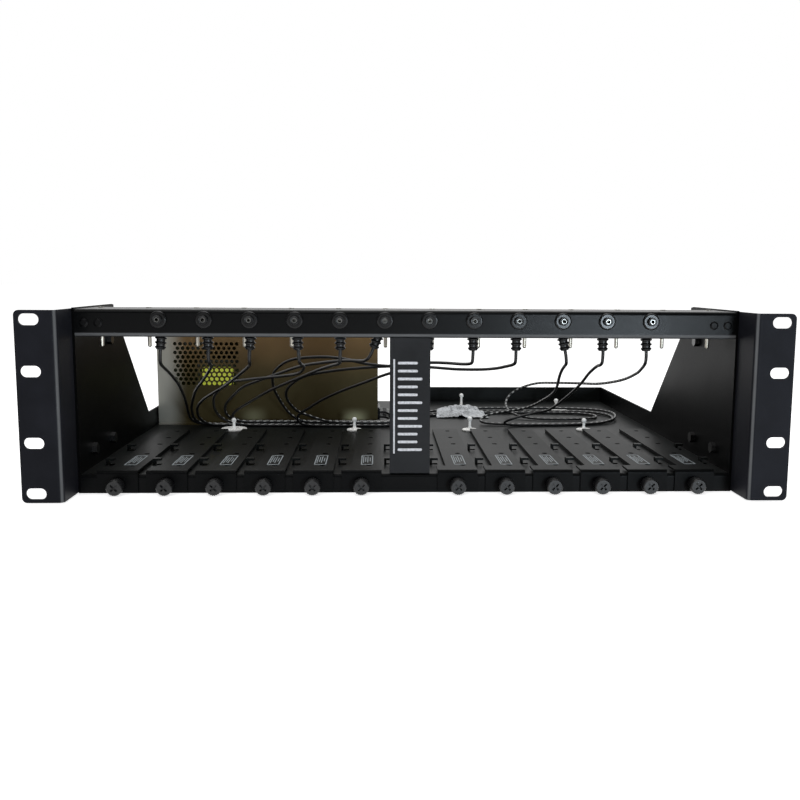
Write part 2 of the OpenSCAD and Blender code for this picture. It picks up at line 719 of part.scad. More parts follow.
// A rack slot, cut through the flange about its own middle
module rack_slot() {
    half_run = (slot_l - slot_h) / 2;
    for (s = [-1, 1])
        rod_y(s * half_run, 0, slot_h, -cut, ear_t + cut);
    block([-half_run, -cut, -slot_h / 2], [half_run, ear_t + cut, slot_h / 2]);
}

// What rounds the flange's lower outer corner
module corner_cut() {
    difference() {
        block([-ear_corner_r, -cut, -cut], [cut, ear_t + cut, ear_corner_r]);
        rod_y(-ear_corner_r, ear_corner_r, 2 * ear_corner_r, -2 * cut, ear_t + 2 * cut);
    }
}

// Screws and nuts that hold the ears on the side walls
module ear_fasteners() {
    grip = ear_t + sheet_t;
    color("#202122")
        placed()
            for (side = [-1, 1], p = ear_screw_places())
                mirror([side < 0 ? 1 : 0, 0, 0])
                    translate([half_w + ear_t, p[0], p[1]])
                        rotate([0, 90, 0]) {
                            difference() {
                                cylinder(d1 = ear_head_d, d2 = ear_head_d * 3 / 4, h = ear_head_t);
                                for (turn = [0, 90])
                                    rotate([0, 0, turn])
                                        translate([-ear_head_d / 4, -ear_t / 4, ear_head_t / 2])
                                            cube([ear_head_d / 2, ear_t / 2, ear_head_t]);
                            }
                            translate([0, 0, -grip - ear_nut_t])
                                cylinder(d = ear_screw_d, h = grip + ear_nut_t + ear_head_t / 4);
                            translate([0, 0, -grip - ear_nut_t])
                                difference() {
                                    cylinder(d = ear_nut_d, h = ear_nut_t, $fn = 6);
                                    translate([0, 0, -cut])
                                        cylinder(d = ear_screw_d - 2 * shank_fit, h = cut);
                                }
                        }
}

// Top rail: a face with a top flange and a return along its lower edge
module top_rail() {
    section = concat(
        [[setback + rail_return_d, rail_bottom]],
        arc([setback + bend_r, rail_bottom + bend_r], bend_r, 270, 180),
        arc([setback + bend_r, rail_top - bend_r], bend_r, 180, 90),
        [[setback + rail_d, rail_top], [setback + rail_d, rail_under]],
        arc([setback + bend_r, rail_top - bend_r], inner_bend_r, 90, 180),
        arc([setback + bend_r, rail_bottom + bend_r], inner_bend_r, 180, 270),
        [[setback + rail_return_d, rail_bottom + sheet_t]]
    );
    color("#1a1b1c")
        placed()
            difference() {
                across(-inner_half_w, inner_half_w, section);
                for (n = [1:plug_count])
                    rod_y(
                        plug_x(n), plug_z, grommet_neck_d + 2 * shank_fit,
                        setback - cut, setback + sheet_t + cut
                    );
                for (k = gap_steps)
                    rod_z(
                        k * bay_pitch, setback + pin_setback, pin_d + 2 * shank_fit,
                        rail_under - cut, rail_top + cut
                    );
                for (side = [-1, 1], x = rail_rivet_xs(side))
                    rod_y(x, rail_rivet_z(), rivet_hole_d, setback - cut, setback + 2 * sheet_t);
            }
}

// Pins that hang from the rail's flange and guide the tops of the units
module guide_pins() {
    tip_l = pin_d / 3;
    head_t = rail_drop / 2;
    color("silver")
        placed()
            for (k = gap_steps)
                translate([k * bay_pitch, setback + pin_setback, rail_under - pin_l]) {
                    cylinder(d1 = pin_d / 2, d2 = pin_d, h = tip_l, $fn = small_fn);
                    translate([0, 0, tip_l])
                        cylinder(d = pin_d, h = pin_l + sheet_t - tip_l + head_t / 2, $fn = small_fn);
                    translate([0, 0, pin_l + sheet_t])
                        cylinder(d = pin_d * 3 / 2, h = head_t, $fn = small_fn);
                }
}

// Rubber rings in the rail's face, and the gland that the leads leave the supply by
module grommets() {
    half_bore = barrel_d / 2 + shank_fit;
    front_r = grommet_d / 2;
    outline = concat(
        [[half_bore, 0], [front_r - grommet_dome_r, 0]],
        arc([front_r - grommet_dome_r, grommet_dome_r], grommet_dome_r, -90, 0),
        [
            [front_r, grommet_ring_t],
            [grommet_neck_d / 2, grommet_ring_t],
            [grommet_neck_d / 2, grommet_ring_t + sheet_t],
            [grommet_rear_d / 2, grommet_ring_t + sheet_t],
            [grommet_rear_d / 2, grommet_ring_t + sheet_t + grommet_rear_t],
            [half_bore, grommet_ring_t + sheet_t + grommet_rear_t]
        ]
    );
    color("#0e0e0f")
        placed()
            for (n = [1:plug_count])
                translate([plug_x(n), setback - grommet_ring_t, plug_z])
                    rotate([-90, 0, 0])
                        rotate_extrude()
                            polygon(outline);
    color("#0e0e0f")
        placed()
            union() {
                gland_block(supply_x1 - supply_t - gland_rear_t, supply_x1 + gland_proud, -rest_gap);
                gland_block(
                    supply_x1 + rest_gap, supply_x1 + gland_proud - gland_lip / 2,
                    gland_lip - rest_gap
                );
            }
}

// A right-angle plug about its own axis, with the barrel towards the front
module parked_plug(turn) {
    body_y = sheet_t + grommet_rear_t + rest_gap;
    relief_y = body_y + plug_body_l * relief_y_share;
    root_r = plug_body_d / 2;
    rib_l = (relief_reach - root_r) / relief_ribs;
    relief = concat(
        [[0, 0], [relief_d / 2, 0]],
        [
            for (i = [0:relief_ribs - 1])
                let (
                    share = (i + 1) / relief_ribs,
                    r = relief_d / 2 + (relief_tip_d - relief_d) / 2 * share,
                    z = root_r + i * rib_l
                )
                    each [[r, z], [r, z + rib_l * 3 / 5], [r * relief_neck_share, z + rib_l * 3 / 5],
                        [r * relief_neck_share, z + rib_l]]
        ],
        [[0, relief_reach]]
    );
    rotate([-90, 0, 0])
        difference() {
            union() {
                translate([0, 0, body_y])
                    cylinder(d = plug_body_d, h = plug_body_l);
                translate([0, 0, -barrel_proud])
                    cylinder(d = barrel_d - barrel_lead_in, h = barrel_lead_in);
                translate([0, 0, -barrel_proud + barrel_lead_in])
                    cylinder(d = barrel_d, h = barrel_proud - barrel_lead_in + body_y + cut);
            }
            translate([0, 0, -barrel_proud - cut])
                cylinder(d = barrel_bore, h = barrel_hole_l + cut, $fn = small_fn);
        }
    rotate([0, turn, 0])
        translate([0, relief_y, 0])
            rotate([180, 0, 0])
                rotate_extrude()
                    polygon(relief);
}

// The plugs as they are parked in the rail
module parked_plugs() {
    color("#111112")
        placed()
            for (n = [1:plug_count])
                translate([plug_x(n), setback, plug_z])
                    parked_plug(-plug_turns[n - 1]);
}

// Strut between the tray and the rail, with a blank front for the name plate
module centre_strut() {
    foot_z = floor_z + sheet_t;
    half = strut_w / 2;
    color("#1a1b1c")
        placed()
            difference() {
                union() {
                    block([-half, setback, foot_z], [half, setback + sheet_t, rail_bottom]);
                    for (s = [-1, 1])
                        block(
                            [min(s * half, s * (half - sheet_t)), setback, foot_z + strut_side_d],
                            [max(s * half, s * (half - sheet_t)), setback + strut_side_d, rail_bottom]
                        );
                    block([-half, setback + bend_r, floor_z], [half, setback + strut_foot_d, foot_z]);
                    block(
                        [-half, setback, foot_z - sheet_t / 2],
                        [half, setback + bend_r + sheet_t, foot_z]
                    );
                    block(
                        [-half, setback, rail_bottom - sheet_t],
                        [half, setback + rail_return_d, rail_bottom]
                    );
                }
                for (x = [-strut_rivet_x, strut_rivet_x])
                    rod_z(x, strut_rivet_y(), rivet_hole_d, floor_z - cut, foot_z + cut);
            }
}

// A rivet along Z, from the face under its head down through its grip
module rivet(grip) {
    translate([0, 0, -grip - rivet_head_t])
        cylinder(d = rivet_head_d, h = rivet_head_t, $fn = small_fn);
    translate([0, 0, -grip - rivet_head_t / 2])
        cylinder(d = rivet_d, h = grip + rivet_head_t, $fn = small_fn);
    cylinder(d = rivet_head_d, h = rivet_head_t / 2, $fn = small_fn);
    translate([0, 0, rivet_head_t / 2])
        cylinder(d1 = rivet_head_d, d2 = rivet_head_d * 2 / 3, h = rivet_head_t / 2, $fn = small_fn);
}

// Rivets of the rail, the strut's foot and the tray
module rivets() {
    color("#202122")
        placed() {
            for (side = [-1, 1], x = rail_rivet_xs(side))
                translate([x, setback, rail_rivet_z()])
                    rotate([90, 0, 0])
                        rivet(2 * sheet_t);
            for (x = [-strut_rivet_x, strut_rivet_x])
                translate([x, strut_rivet_y(), floor_z + sheet_t])
                    rivet(sheet_t + floor_t);
            for (side = [-1, 1], share = tray_rivet_shares)
                translate([side * half_w, setback + share * body_d, tray_rivet_z()])
                    rotate([0, side * 90, 0])
                        rivet(2 * sheet_t);
        }
}

// Zinc-plated small parts: nuts pressed into the back of the front lip, and the board's standoffs
module nuts_and_standoffs() {
    color("#b8b4a4")
        placed() {
            for (n = [1:bay_count])
                difference() {
                    rod_y(bay_x(n), screw_z, nut_d, setback + sheet_t, setback + sheet_t + nut_l);
                    rod_y(bay_x(n), screw_z, screw_hole_d, setback, setback + sheet_t + nut_l + cut);
                }
            for (p = board_corners()) {
                rod_z(p[0], p[1], standoff_d, supply_z0 + supply_t, board_z);
                rod_z(p[0], p[1], rivet_d - 2 * shank_fit, board_z - cut, board_top() + rivet_head_t);
                rod_z(p[0], p[1], rivet_head_d, board_top(), board_top() + 2 * rivet_head_t);
            }
        }
}

// A slot plate: a front lip and a notched sheet whose turned-down edges stand on the tray
module slot_plate(n) {
    front = plates_front;
    low = floor_z + rest_gap;
    top = low + plate_edge_h + plate_t;
    section = concat(
        [[front, 2 * plate_gap]],
        arc([front + bend_r, top - bend_r], bend_r, 180, 90),
        [[front + plate_d, top], [front + plate_d, top - plate_t]],
        arc([front + bend_r, top - bend_r], bend_r - plate_t, 90, 180),
        [[front + plate_t, 2 * plate_gap]]
    );
    right = plate_w / 2;
    color("#1d1e20")
        placed()
            translate([bay_x(n), 0, 0])
                difference() {
                    union() {
                        across(-right, right, section);
                        for (edge = [-right + notch_w, right - plate_t])
                            block(
                                [edge, front + notch_start, low],
                                [edge + plate_t, front + plate_d - 2 * plate_corner_r, top - plate_t / 2]
                            );
                    }
                    block(
                        [-right - cut, front + notch_start, floor_z - cut],
                        [-right + notch_w, front + plate_d + cut, top + cut]
                    );
                    for (share = plate_hole_shares)
                        rod_z(
                            right - hole_line_inset, front + share * plate_d, plate_hole_d,
                            floor_z - cut, top + cut
                        );
                    rod_y(0, screw_z, screw_hole_d, front - cut, front + plate_t + cut);
                    for (x = [-right + notch_w, right])
                        translate([x, front + plate_d, 0])
                            plate_corner(x < 0 ? -1 : 1, top);
                }
}

// What rounds one rear corner of a slot plate
module plate_corner(side, top) {
    mirror([side < 0 ? 1 : 0, 0, 0])
        difference() {
            block([-plate_corner_r, -plate_corner_r, floor_z - cut], [cut, cut, top + cut]);
            rod_z(-plate_corner_r, -plate_corner_r, 2 * plate_corner_r, floor_z - 2 * cut, top + 2 * cut);
        }
}

// A captive thumbscrew: a grooved knob with a cross recess, and its screw
module thumbscrew(n) {
    seat_y = plates_front - rest_gap;
    front = seat_y - knob_l;
    color("#101011")
        placed()
            translate([bay_x(n), front, screw_z])
                rotate([-90, 0, 0])
                    difference() {
                        union() {
                            cylinder(d1 = knob_d - 2 * knob_edge, d2 = knob_d, h = knob_edge);
                            translate([0, 0, knob_edge])
                                cylinder(d = knob_d, h = knob_l - knob_neck_l - knob_edge);
                            translate([0, 0, knob_l - knob_neck_l])
                                cylinder(d = knob_d * knob_neck_share, h = knob_neck_l);
                            translate([0, 0, knob_l])
                                cylinder(d = screw_d, h = screw_l - screw_tip_l);
                            translate([0, 0, knob_l + screw_l - screw_tip_l])
                                cylinder(d1 = screw_d, d2 = screw_d - screw_tip_l, h = screw_tip_l);
                        }
                        for (i = [0:knob_grooves - 1])
                            rotate([0, 0, i * 360 / knob_grooves])
                                translate([knob_d / 2, 0, -cut])
                                    cylinder(d = groove_d, h = knob_l - knob_neck_l + cut, $fn = 6);
                        for (turn = [45, 135])
                            rotate([0, 0, turn])
                                translate([-recess_l / 2, -recess_w / 2, -cut])
                                    cube([recess_l, recess_w, recess_depth + cut]);
                    }
}

// A staggered field of vent holes in a panel that faces the front or the rear
module vents(x, z, y0, y1) {
    for (row = [0:vent_rows - 1], col = [0:vent_cols - 1 - row % 2])
        rod_y(
            x + (col + row % 2 / 2) * vent_pitch, z - row * vent_row_pitch, vent_d,
            y0, y1, $fn = small_fn
        );
}

// Floor, front and rear panel of the power supply
module supply_base() {
    inner_x0 = supply_x0 + supply_t;
    inner_x1 = supply_x1 - supply_t;
    panel_top = supply_z1 - supply_t;
    color("#8f8d84")
        placed()
            difference() {
                union() {
                    block(
                        [inner_x0, supply_y0 - supply_foot_d, supply_z0],
                        [inner_x1, supply_y1, supply_z0 + supply_t]
                    );
                    block([inner_x0, supply_y0, supply_z0], [inner_x1, supply_y0 + supply_t, panel_top]);
                    block([inner_x0, supply_y1 - supply_t, supply_z0], [inner_x1, supply_y1, panel_top]);
                }
                vents(
                    supply_x0 + vent_left, supply_z1 - vent_top,
                    supply_y0 - cut, supply_y0 + supply_t + cut
                );
                vents(
                    supply_x1 - vent_left - (vent_cols - 1) * vent_pitch, supply_z1 - vent_top,
                    supply_y1 - supply_t - cut, supply_y1 + cut
                );
                translate([inlet_x, supply_y1, inlet_z])
                    block(
                        [-inlet_body_w / 2 - rest_gap, -supply_t - cut, -inlet_body_h / 2 - rest_gap],
                        [inlet_body_w / 2 + rest_gap, cut, inlet_body_h / 2 + rest_gap]
                    );
                for (s = [-1, 1])
                    rod_y(
                        inlet_x + s * inlet_screw_x(), inlet_z, inlet_screw_d + 2 * shank_fit,
                        supply_y1 - supply_t - cut, supply_y1 + cut
                    );
            }
}

// Top and sides of the power supply
module supply_cover() {
    color("#98968d")
        placed()
            difference() {
                block([supply_x0, supply_y0, supply_z0], [supply_x1, supply_y1, supply_z1]);
                block(
                    [supply_x0 + supply_t, supply_y0 - cut, supply_z0 - cut],
                    [supply_x1 - supply_t, supply_y1 + cut, supply_z1 - supply_t]
                );
                gland_block(supply_x1 - 2 * supply_t, supply_x1 + cut, 0);
            }
}

// The block that the gland fills, grown by a margin
module gland_block(x0, x1, margin) {
    block(
        [x0, gland_first_y - gland_margin - margin, gland_first_z - gland_margin - margin],
        [
            x1,
            gland_first_y + (gland_cols - 1) * gland_pitch_y + gland_margin + margin,
            gland_first_z + (gland_rows - 1) * gland_pitch_z + gland_margin + margin
        ]
    );
}

// Circuit board of the power supply
module supply_board() {
    color("#2f6b3a")
        placed()
            difference() {
                block(
                    [supply_x0 + board_margin_x, board_y0, board_z],
                    [supply_x1 - board_margin_x, board_y1, board_z + board_t]
                );
                for (p = board_corners())
                    rod_z(p[0], p[1], rivet_d, board_z - cut, board_z + board_t + cut);
            }
}

function board_corners() = [
    for (
        x = [supply_x0 + board_margin_x + standoff_inset, supply_x1 - board_margin_x - standoff_inset],
        y = [board_y0 + standoff_inset, board_y1 - standoff_inset]
    )
        [x, y]
];

function board_top() = board_z + board_t;
function transformer_y() = supply_y0 + transformer_gap_y + core_d / 2;

// Ferrite core of the transformer: a frame round the winding
module transformer_core() {
    color("#3a3a3c")
        placed()
            translate([transformer_x, transformer_y(), board_top() + winding_proud])
                difference() {
                    block([-core_w / 2, -core_d / 4, 0], [core_w / 2, core_d / 4, core_h]);
                    block(
                        [-core_w / 2 + core_leg_t, -core_d / 4 - cut, core_leg_t],
                        [core_w / 2 - core_leg_t, core_d / 4 + cut, core_h - core_leg_t]
                    );
                }
}

// Taped winding on its bobbin, with feet down to the board
module transformer_winding() {
    half_x = core_w / 2 - core_leg_t - rest_gap;
    low = winding_proud + core_leg_t + rest_gap;
    high = winding_proud + core_h - core_leg_t - rest_gap;
    color("#b9c23c")
        placed()
            translate([transformer_x, transformer_y(), board_top()]) {
                block([-half_x, -core_d / 2, low], [half_x, core_d / 2, high]);
                for (y = [-core_d / 2, core_d / 2 - winding_proud])
                    block([-half_x, y, 0], [half_x, y + winding_proud, low]);
            }
}

// A place on the board, from shares of its width and depth
function board_place(p) = [
    supply_x0 + board_margin_x + p[0] * (supply_w - 2 * board_margin_x),
    board_y0 + p[1] * (board_y1 - board_y0)
];

// Electrolytic capacitors on the board: one large, a row of middling and a row of small ones
module supply_capacitors() {
    color("#23324f")
        placed() {
            capacitor([0.52, 0.76], large_cap_d, large_cap_h);
            for (share = cap_column_shares) {
                capacitor([share, 0.24], mid_cap_d, mid_cap_h);
                capacitor([share, 0.5], small_cap_d, small_cap_h);
            }
        }
}

module capacitor(shares, d, h) {
    p = board_place(shares);
    rod_z(p[0], p[1], d, board_top(), board_top() + h);
}

// Finned heat sinks that stand on the board
module heat_sinks() {
    color("#a7a9ab")
        placed()
            for (shares = sink_shares)
                let (p = board_place(shares))
                    translate([p[0], p[1], board_top()]) {
                        block([0, -sink_l / 2, 0], [fin_t, sink_l / 2, sink_h]);
                        for (i = [0:sink_fins - 1])
                            block(
                                [-fin_reach, -sink_l / 2 + i * fin_pitch, 0],
                                [0, -sink_l / 2 + i * fin_pitch + fin_t, sink_h]
                            );
                    }
}

// Terminal block that the leads start from, just inside the gland
module output_terminals() {
    span = (gland_cols - 1) * gland_pitch_y + 2 * gland_margin;
    low_y = gland_first_y - gland_margin;
    color("#27603f")
        placed()
            difference() {
                block(
                    [supply_x1 - board_margin_x - terminal_w, low_y + board_margin_y, board_top()],
                    [supply_x1 - board_margin_x, low_y + board_margin_y + span, board_top() + terminal_h]
                );
                for (i = [0:gland_cols - 1])
                    rod_z(
                        supply_x1 - board_margin_x - terminal_w / 2,
                        gland_first_y + board_margin_y + i * gland_pitch_y,
                        barrel_bore, board_top() + terminal_h / 2, board_top() + terminal_h + cut
                    );
            }
}

// Outline of the mains socket's recess, with two cut corners
function socket_outline(w, h, c) = [
    [-w / 2, -h / 2],
    [w / 2, -h / 2],
    [w / 2, h / 2 - c],
    [w / 2 - c, h / 2],
    [-w / 2 + c, h / 2],
    [-w / 2, h / 2 - c]
];

// Mains inlet: flange, body, socket recess with its three contacts, fuse slot and fixing screws
module mains_inlet() {
    outer_y = supply_y1 + supply_rear_gap - rest_gap;
    drawer_low = -drawer_h / 2 - drawer_gap;
    color("#141415")
        placed()
            translate([inlet_x, 0, inlet_z])
                difference() {
                    union() {
                        block(
                            [-inlet_flange_w / 2, supply_y1, -inlet_flange_h / 2],
                            [inlet_flange_w / 2, outer_y, inlet_flange_h / 2]
                        );
                        block(
                            [-inlet_body_w / 2, supply_y1 - inlet_body_d, -inlet_body_h / 2],
                            [inlet_body_w / 2, supply_y1 + cut, inlet_body_h / 2]
                        );
                        for (s = [-1, 1])
                            rod_y(
                                s * inlet_screw_x(), 0, inlet_screw_d,
                                supply_y1 - 2 * supply_t, outer_y - inlet_screw_head_t / 2
                            );
                    }
                    translate([0, outer_y - socket_d, socket_raise])
                        rotate([-90, 0, 0])
                            mirror([0, 1, 0])
                                linear_extrude(socket_d + cut)
                                    polygon(socket_outline(socket_w, socket_h, socket_chamfer));
                    translate([0, outer_y, -drawer_drop])
                        block(
                            [-drawer_w / 2 - drawer_gap, -drawer_d - drawer_gap, drawer_low],
                            [drawer_w / 2 + drawer_gap, cut, drawer_h / 2 + drawer_gap]
                        );
                    for (s = [-1, 1])
                        difference() {
                            rod_y(
                                s * inlet_screw_x(), 0, inlet_screw_head_d,
                                outer_y - inlet_screw_head_t, outer_y + cut
                            );
                            rod_y(
                                s * inlet_screw_x(), 0, inlet_screw_d, outer_y - inlet_screw_head_t - cut,
                                outer_y - inlet_screw_head_t / 2
                            );
                        }
                }
    color("silver")
        placed()
            for (p = [[-contact_x, -contact_z], [contact_x, -contact_z], [0, contact_z]])
                translate([inlet_x + p[0], outer_y - socket_d, inlet_z + socket_raise + p[1]])
                    block([-contact_t / 2, 0, -contact_w / 2], [contact_t / 2, contact_l, contact_w / 2]);
}

function inlet_screw_x() = (inlet_flange_w + inlet_body_w) / 4;

// Fuse drawer, which pulls out of the inlet to the rear, with the fuse that lies in it
module fuse_drawer() {
    outer_y = supply_y1 + supply_rear_gap - rest_gap;
    trough_w = drawer_w - 2 * drawer_face_margin;
    trough_z = -drawer_h / 2 + drawer_face_margin;
    color("#1b1b1d")
        placed()
            translate([inlet_x, outer_y, inlet_z - drawer_drop]) {
                difference() {
                    block([-drawer_w / 2, -drawer_d, -drawer_h / 2], [drawer_w / 2, 0, drawer_h / 2]);
                    block(
                        [-trough_w / 2, -drawer_d + drawer_face_t, trough_z],
                        [trough_w / 2, -2 * drawer_face_t, drawer_h / 2 + cut]
                    );
                    block(
                        [-drawer_w / 4, -drawer_face_t, -drawer_face_t / 2],
                        [drawer_w / 4, cut, drawer_face_t / 2]
                    );
                }
                rod_x(-drawer_d / 2, trough_z + fuse_d / 2, fuse_d, -fuse_l / 2, fuse_l / 2);
            }
}

// One cable post on the tray: a round base and a post with a ball on it
module cable_post(x, y, base_d, post_l) {
    translate([x, y, floor_z]) {
        cylinder(d1 = base_d, d2 = base_d - post_base_t, h = post_base_t);
        translate([0, 0, post_base_t / 2])
            cylinder(d1 = post_foot_d, d2 = post_d, h = post_base_t / 2 + post_foot_h, $fn = small_fn);
        translate([0, 0, post_base_t / 2])
            cylinder(d = post_d, h = post_base_t / 2 + post_l, $fn = small_fn);
        translate([0, 0, post_base_t + post_l])
            sphere(d = post_ball_d, $fn = small_fn);
    }
}

function front_post_y(base_d) = plates_rear + post_gap + base_d / 2;

// White posts that the leads are tied to
module cable_posts() {
    color("#e8e8e4")
        placed() {
            cable_post(
                front_large_post_share[0] * body_w, front_post_y(post_base_large),
                post_base_large, front_large_post_share[1] * post_base_large
            );
            for (p = front_small_post_shares)
                cable_post(
                    p[0] * body_w, front_post_y(post_base_small),
                    post_base_small, p[1] * post_base_large
                );
            for (p = rear_post_shares)
                cable_post(
                    p[0] * body_w, plates_rear + p[1] * (rear_y - plates_rear),
                    post_base_large, p[2] * post_base_large
                );
        }
}

// One lead: a single tube swept along its route
module lead(n) {
    p = smooth_route(LEAD_ROUTES[n - 1]);
    side = sides_along(p, 0, [0, 0, 1]);
    rings = [
        for (i = [0:len(p) - 1])
            let (u = side[i], v = cross(heading(p, i), u))
                for (k = [0:lead_sides - 1])
                    p[i] + lead_d / 2 * (cos(k * 360 / lead_sides) * u + sin(k * 360 / lead_sides) * v)
    ];
    last = len(p) - 1;
    walls = [
        for (i = [0:last - 1], k = [0:lead_sides - 1])
            let (a = i * lead_sides + k, b = i * lead_sides + (k + 1) % lead_sides)
                each [[a, b + lead_sides, b], [a, a + lead_sides, b + lead_sides]]
    ];
    caps = [
        [for (k = [0:lead_sides - 1]) k],
        [for (k = [lead_sides - 1:-1:0]) last * lead_sides + k]
    ];
    color("#121213")
        placed()
            polyhedron(points = rings, faces = concat(caps, walls));
}

tray();
side_wall(-1);  // side_wall_left
side_wall(1);  // side_wall_right
ear(-1);  // ear_left
ear(1);  // ear_right
ear_fasteners();
top_rail();
guide_pins();
grommets();
parked_plugs();
centre_strut();
rivets();
nuts_and_standoffs();
supply_base();
supply_cover();
supply_board();
transformer_core();
transformer_winding();
supply_capacitors();
heat_sinks();
output_terminals();
mains_inlet();
fuse_drawer();
cable_posts();
for (n = [1:bay_count]) slot_plate(n);
for (n = [1:bay_count]) thumbscrew(n);
for (n = [1:plug_count]) lead(n);
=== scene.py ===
"""Dresses the rack chassis: its leads, plugs, labels and finishes, round the packed model."""

import json
import math

import bmesh
import bpy
from mathutils import Matrix, Vector, noise


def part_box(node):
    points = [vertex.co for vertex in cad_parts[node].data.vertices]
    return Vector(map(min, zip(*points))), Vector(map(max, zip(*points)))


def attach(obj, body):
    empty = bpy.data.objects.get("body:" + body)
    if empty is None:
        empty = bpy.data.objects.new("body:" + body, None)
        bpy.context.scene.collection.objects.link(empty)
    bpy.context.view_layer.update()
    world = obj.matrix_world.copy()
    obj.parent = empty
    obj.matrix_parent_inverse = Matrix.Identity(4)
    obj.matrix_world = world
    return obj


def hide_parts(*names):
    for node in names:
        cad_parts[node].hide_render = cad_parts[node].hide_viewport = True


bl_info = {
    "name": "Rack chassis for desktop converters",
    "version": (1, 0, 0),
    "blender": (4, 5, 0),
    "location": "3D View > Sidebar > Chassis",
    "description": "Builds the leads, plugs, labels and finishes of a rack chassis",
    "category": "Object",
}

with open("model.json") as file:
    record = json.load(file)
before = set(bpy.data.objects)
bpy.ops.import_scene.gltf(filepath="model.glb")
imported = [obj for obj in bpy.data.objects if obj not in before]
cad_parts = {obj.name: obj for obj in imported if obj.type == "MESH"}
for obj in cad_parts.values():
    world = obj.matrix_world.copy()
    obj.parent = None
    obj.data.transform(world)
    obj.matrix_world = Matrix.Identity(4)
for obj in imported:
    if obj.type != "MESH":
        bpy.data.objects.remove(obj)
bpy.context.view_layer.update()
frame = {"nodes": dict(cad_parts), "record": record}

MM = 0.001
CHASSIS = "chassis"
BAYS = range(1, 13)

# Where the model's depth starts: its own places are measured back from the face of the ears
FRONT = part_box("ear_left")[0].y


def spot(x, y, z):
    """A place in millimetres, measured back from the ear face, as a point in metres."""
    return Vector((x * MM, FRONT + y * MM, z * MM))


# Places that the pieces share, read from the model
RAIL_LOW, RAIL_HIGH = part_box("top_rail")
STRUT_LOW, STRUT_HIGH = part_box("centre_strut")
TRAY_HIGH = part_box("tray")[1]
SUPPLY_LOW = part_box("supply_cover")[0]
PLATE_LOW, PLATE_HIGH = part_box("slot_plate_1")
FLOOR_Z = SUPPLY_LOW.z
RAIL_FACE = RAIL_LOW.y
EAR_INNER = -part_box("ear_left")[1].x

# Plugs: barrel, body and strain relief
PLUG_PITCH = 29 * MM
PLUG_SHIFT = -2 * MM
PLUG_Z = RAIL_HIGH.z - 6.5 * MM
PLUG_TURNS = (-4.6, 1.2, -4.6, 3.2, -1, -22, 0, 1.8, 0.8, 11.5, 0.8, 2)
BARREL_R = 2.75 * MM
BORE_R = 1.05 * MM
BARREL_PROUD = 4.6 * MM
BODY_R = 4.75 * MM
BODY_START = 2.8 * MM
BODY_L = 14 * MM
RELIEF_SHARE = 0.62
RELIEF_REACH = 20 * MM
RELIEF_R = 4.5 * MM
RELIEF_TIP_R = 3.6 * MM
RELIEF_NECK_R = 2.8 * MM

# Cable posts: places as shares of the chassis width and, at the rear, of the depth behind the slot
# plates. Each one's length comes last, as a share of the large base.
BODY_W = 431.8 * MM
LARGE_BASE_R = 11 * MM
SMALL_BASE_R = 6.5 * MM
POST_BASE_T = 1.6 * MM
POST_LARGE = (-0.331, 0.3)
POSTS_SMALL = ((-0.095, 0.36), (0.132, 0.39), (0.359, 0.32))
POSTS_REAR = ((0.141, 0.669, 0.57), (0.358, 0.655, 0.36))
POST_GAP = 0.8 * MM
POST_STEM_R = 1.15 * MM
POST_BALL_R = 2.1 * MM
POST_RIBS = 8

# Marks: the labels' middle from a slot plate's right side and from the ear face, and the strut's ladder
LABEL_SIDE = 9.9 * MM
LABEL_BACK = 65.5 * MM
LADDER_STEP = 5.2 * MM
LADDER_LEFT = -8 * MM
SHORT_BAR = 13 * MM
LONG_BAR = 16 * MM
BAR_T = 1.7 * MM
RULE_LEFT = -10.4 * MM
RULE_T = 1.1 * MM

# Film: its near left corner, the seed of its waves, so that each run folds it the same way, its
# division, and how far it stays clear of the floor and of a lead
FILM_CORNER = spot(32, 284, 0)
FILM_SEED = 5
FILM_CUTS = 56
FILM_LIFT = 0.5 * MM
FILM_REACH = 9 * MM
FILM_OVER_LEAD = 1.7 * MM
FILM_T = 0.15 * MM

# Leads: steps between two points of a route, and sides of the tube
PATH_STEPS = 8
LEAD_SIDES = 14

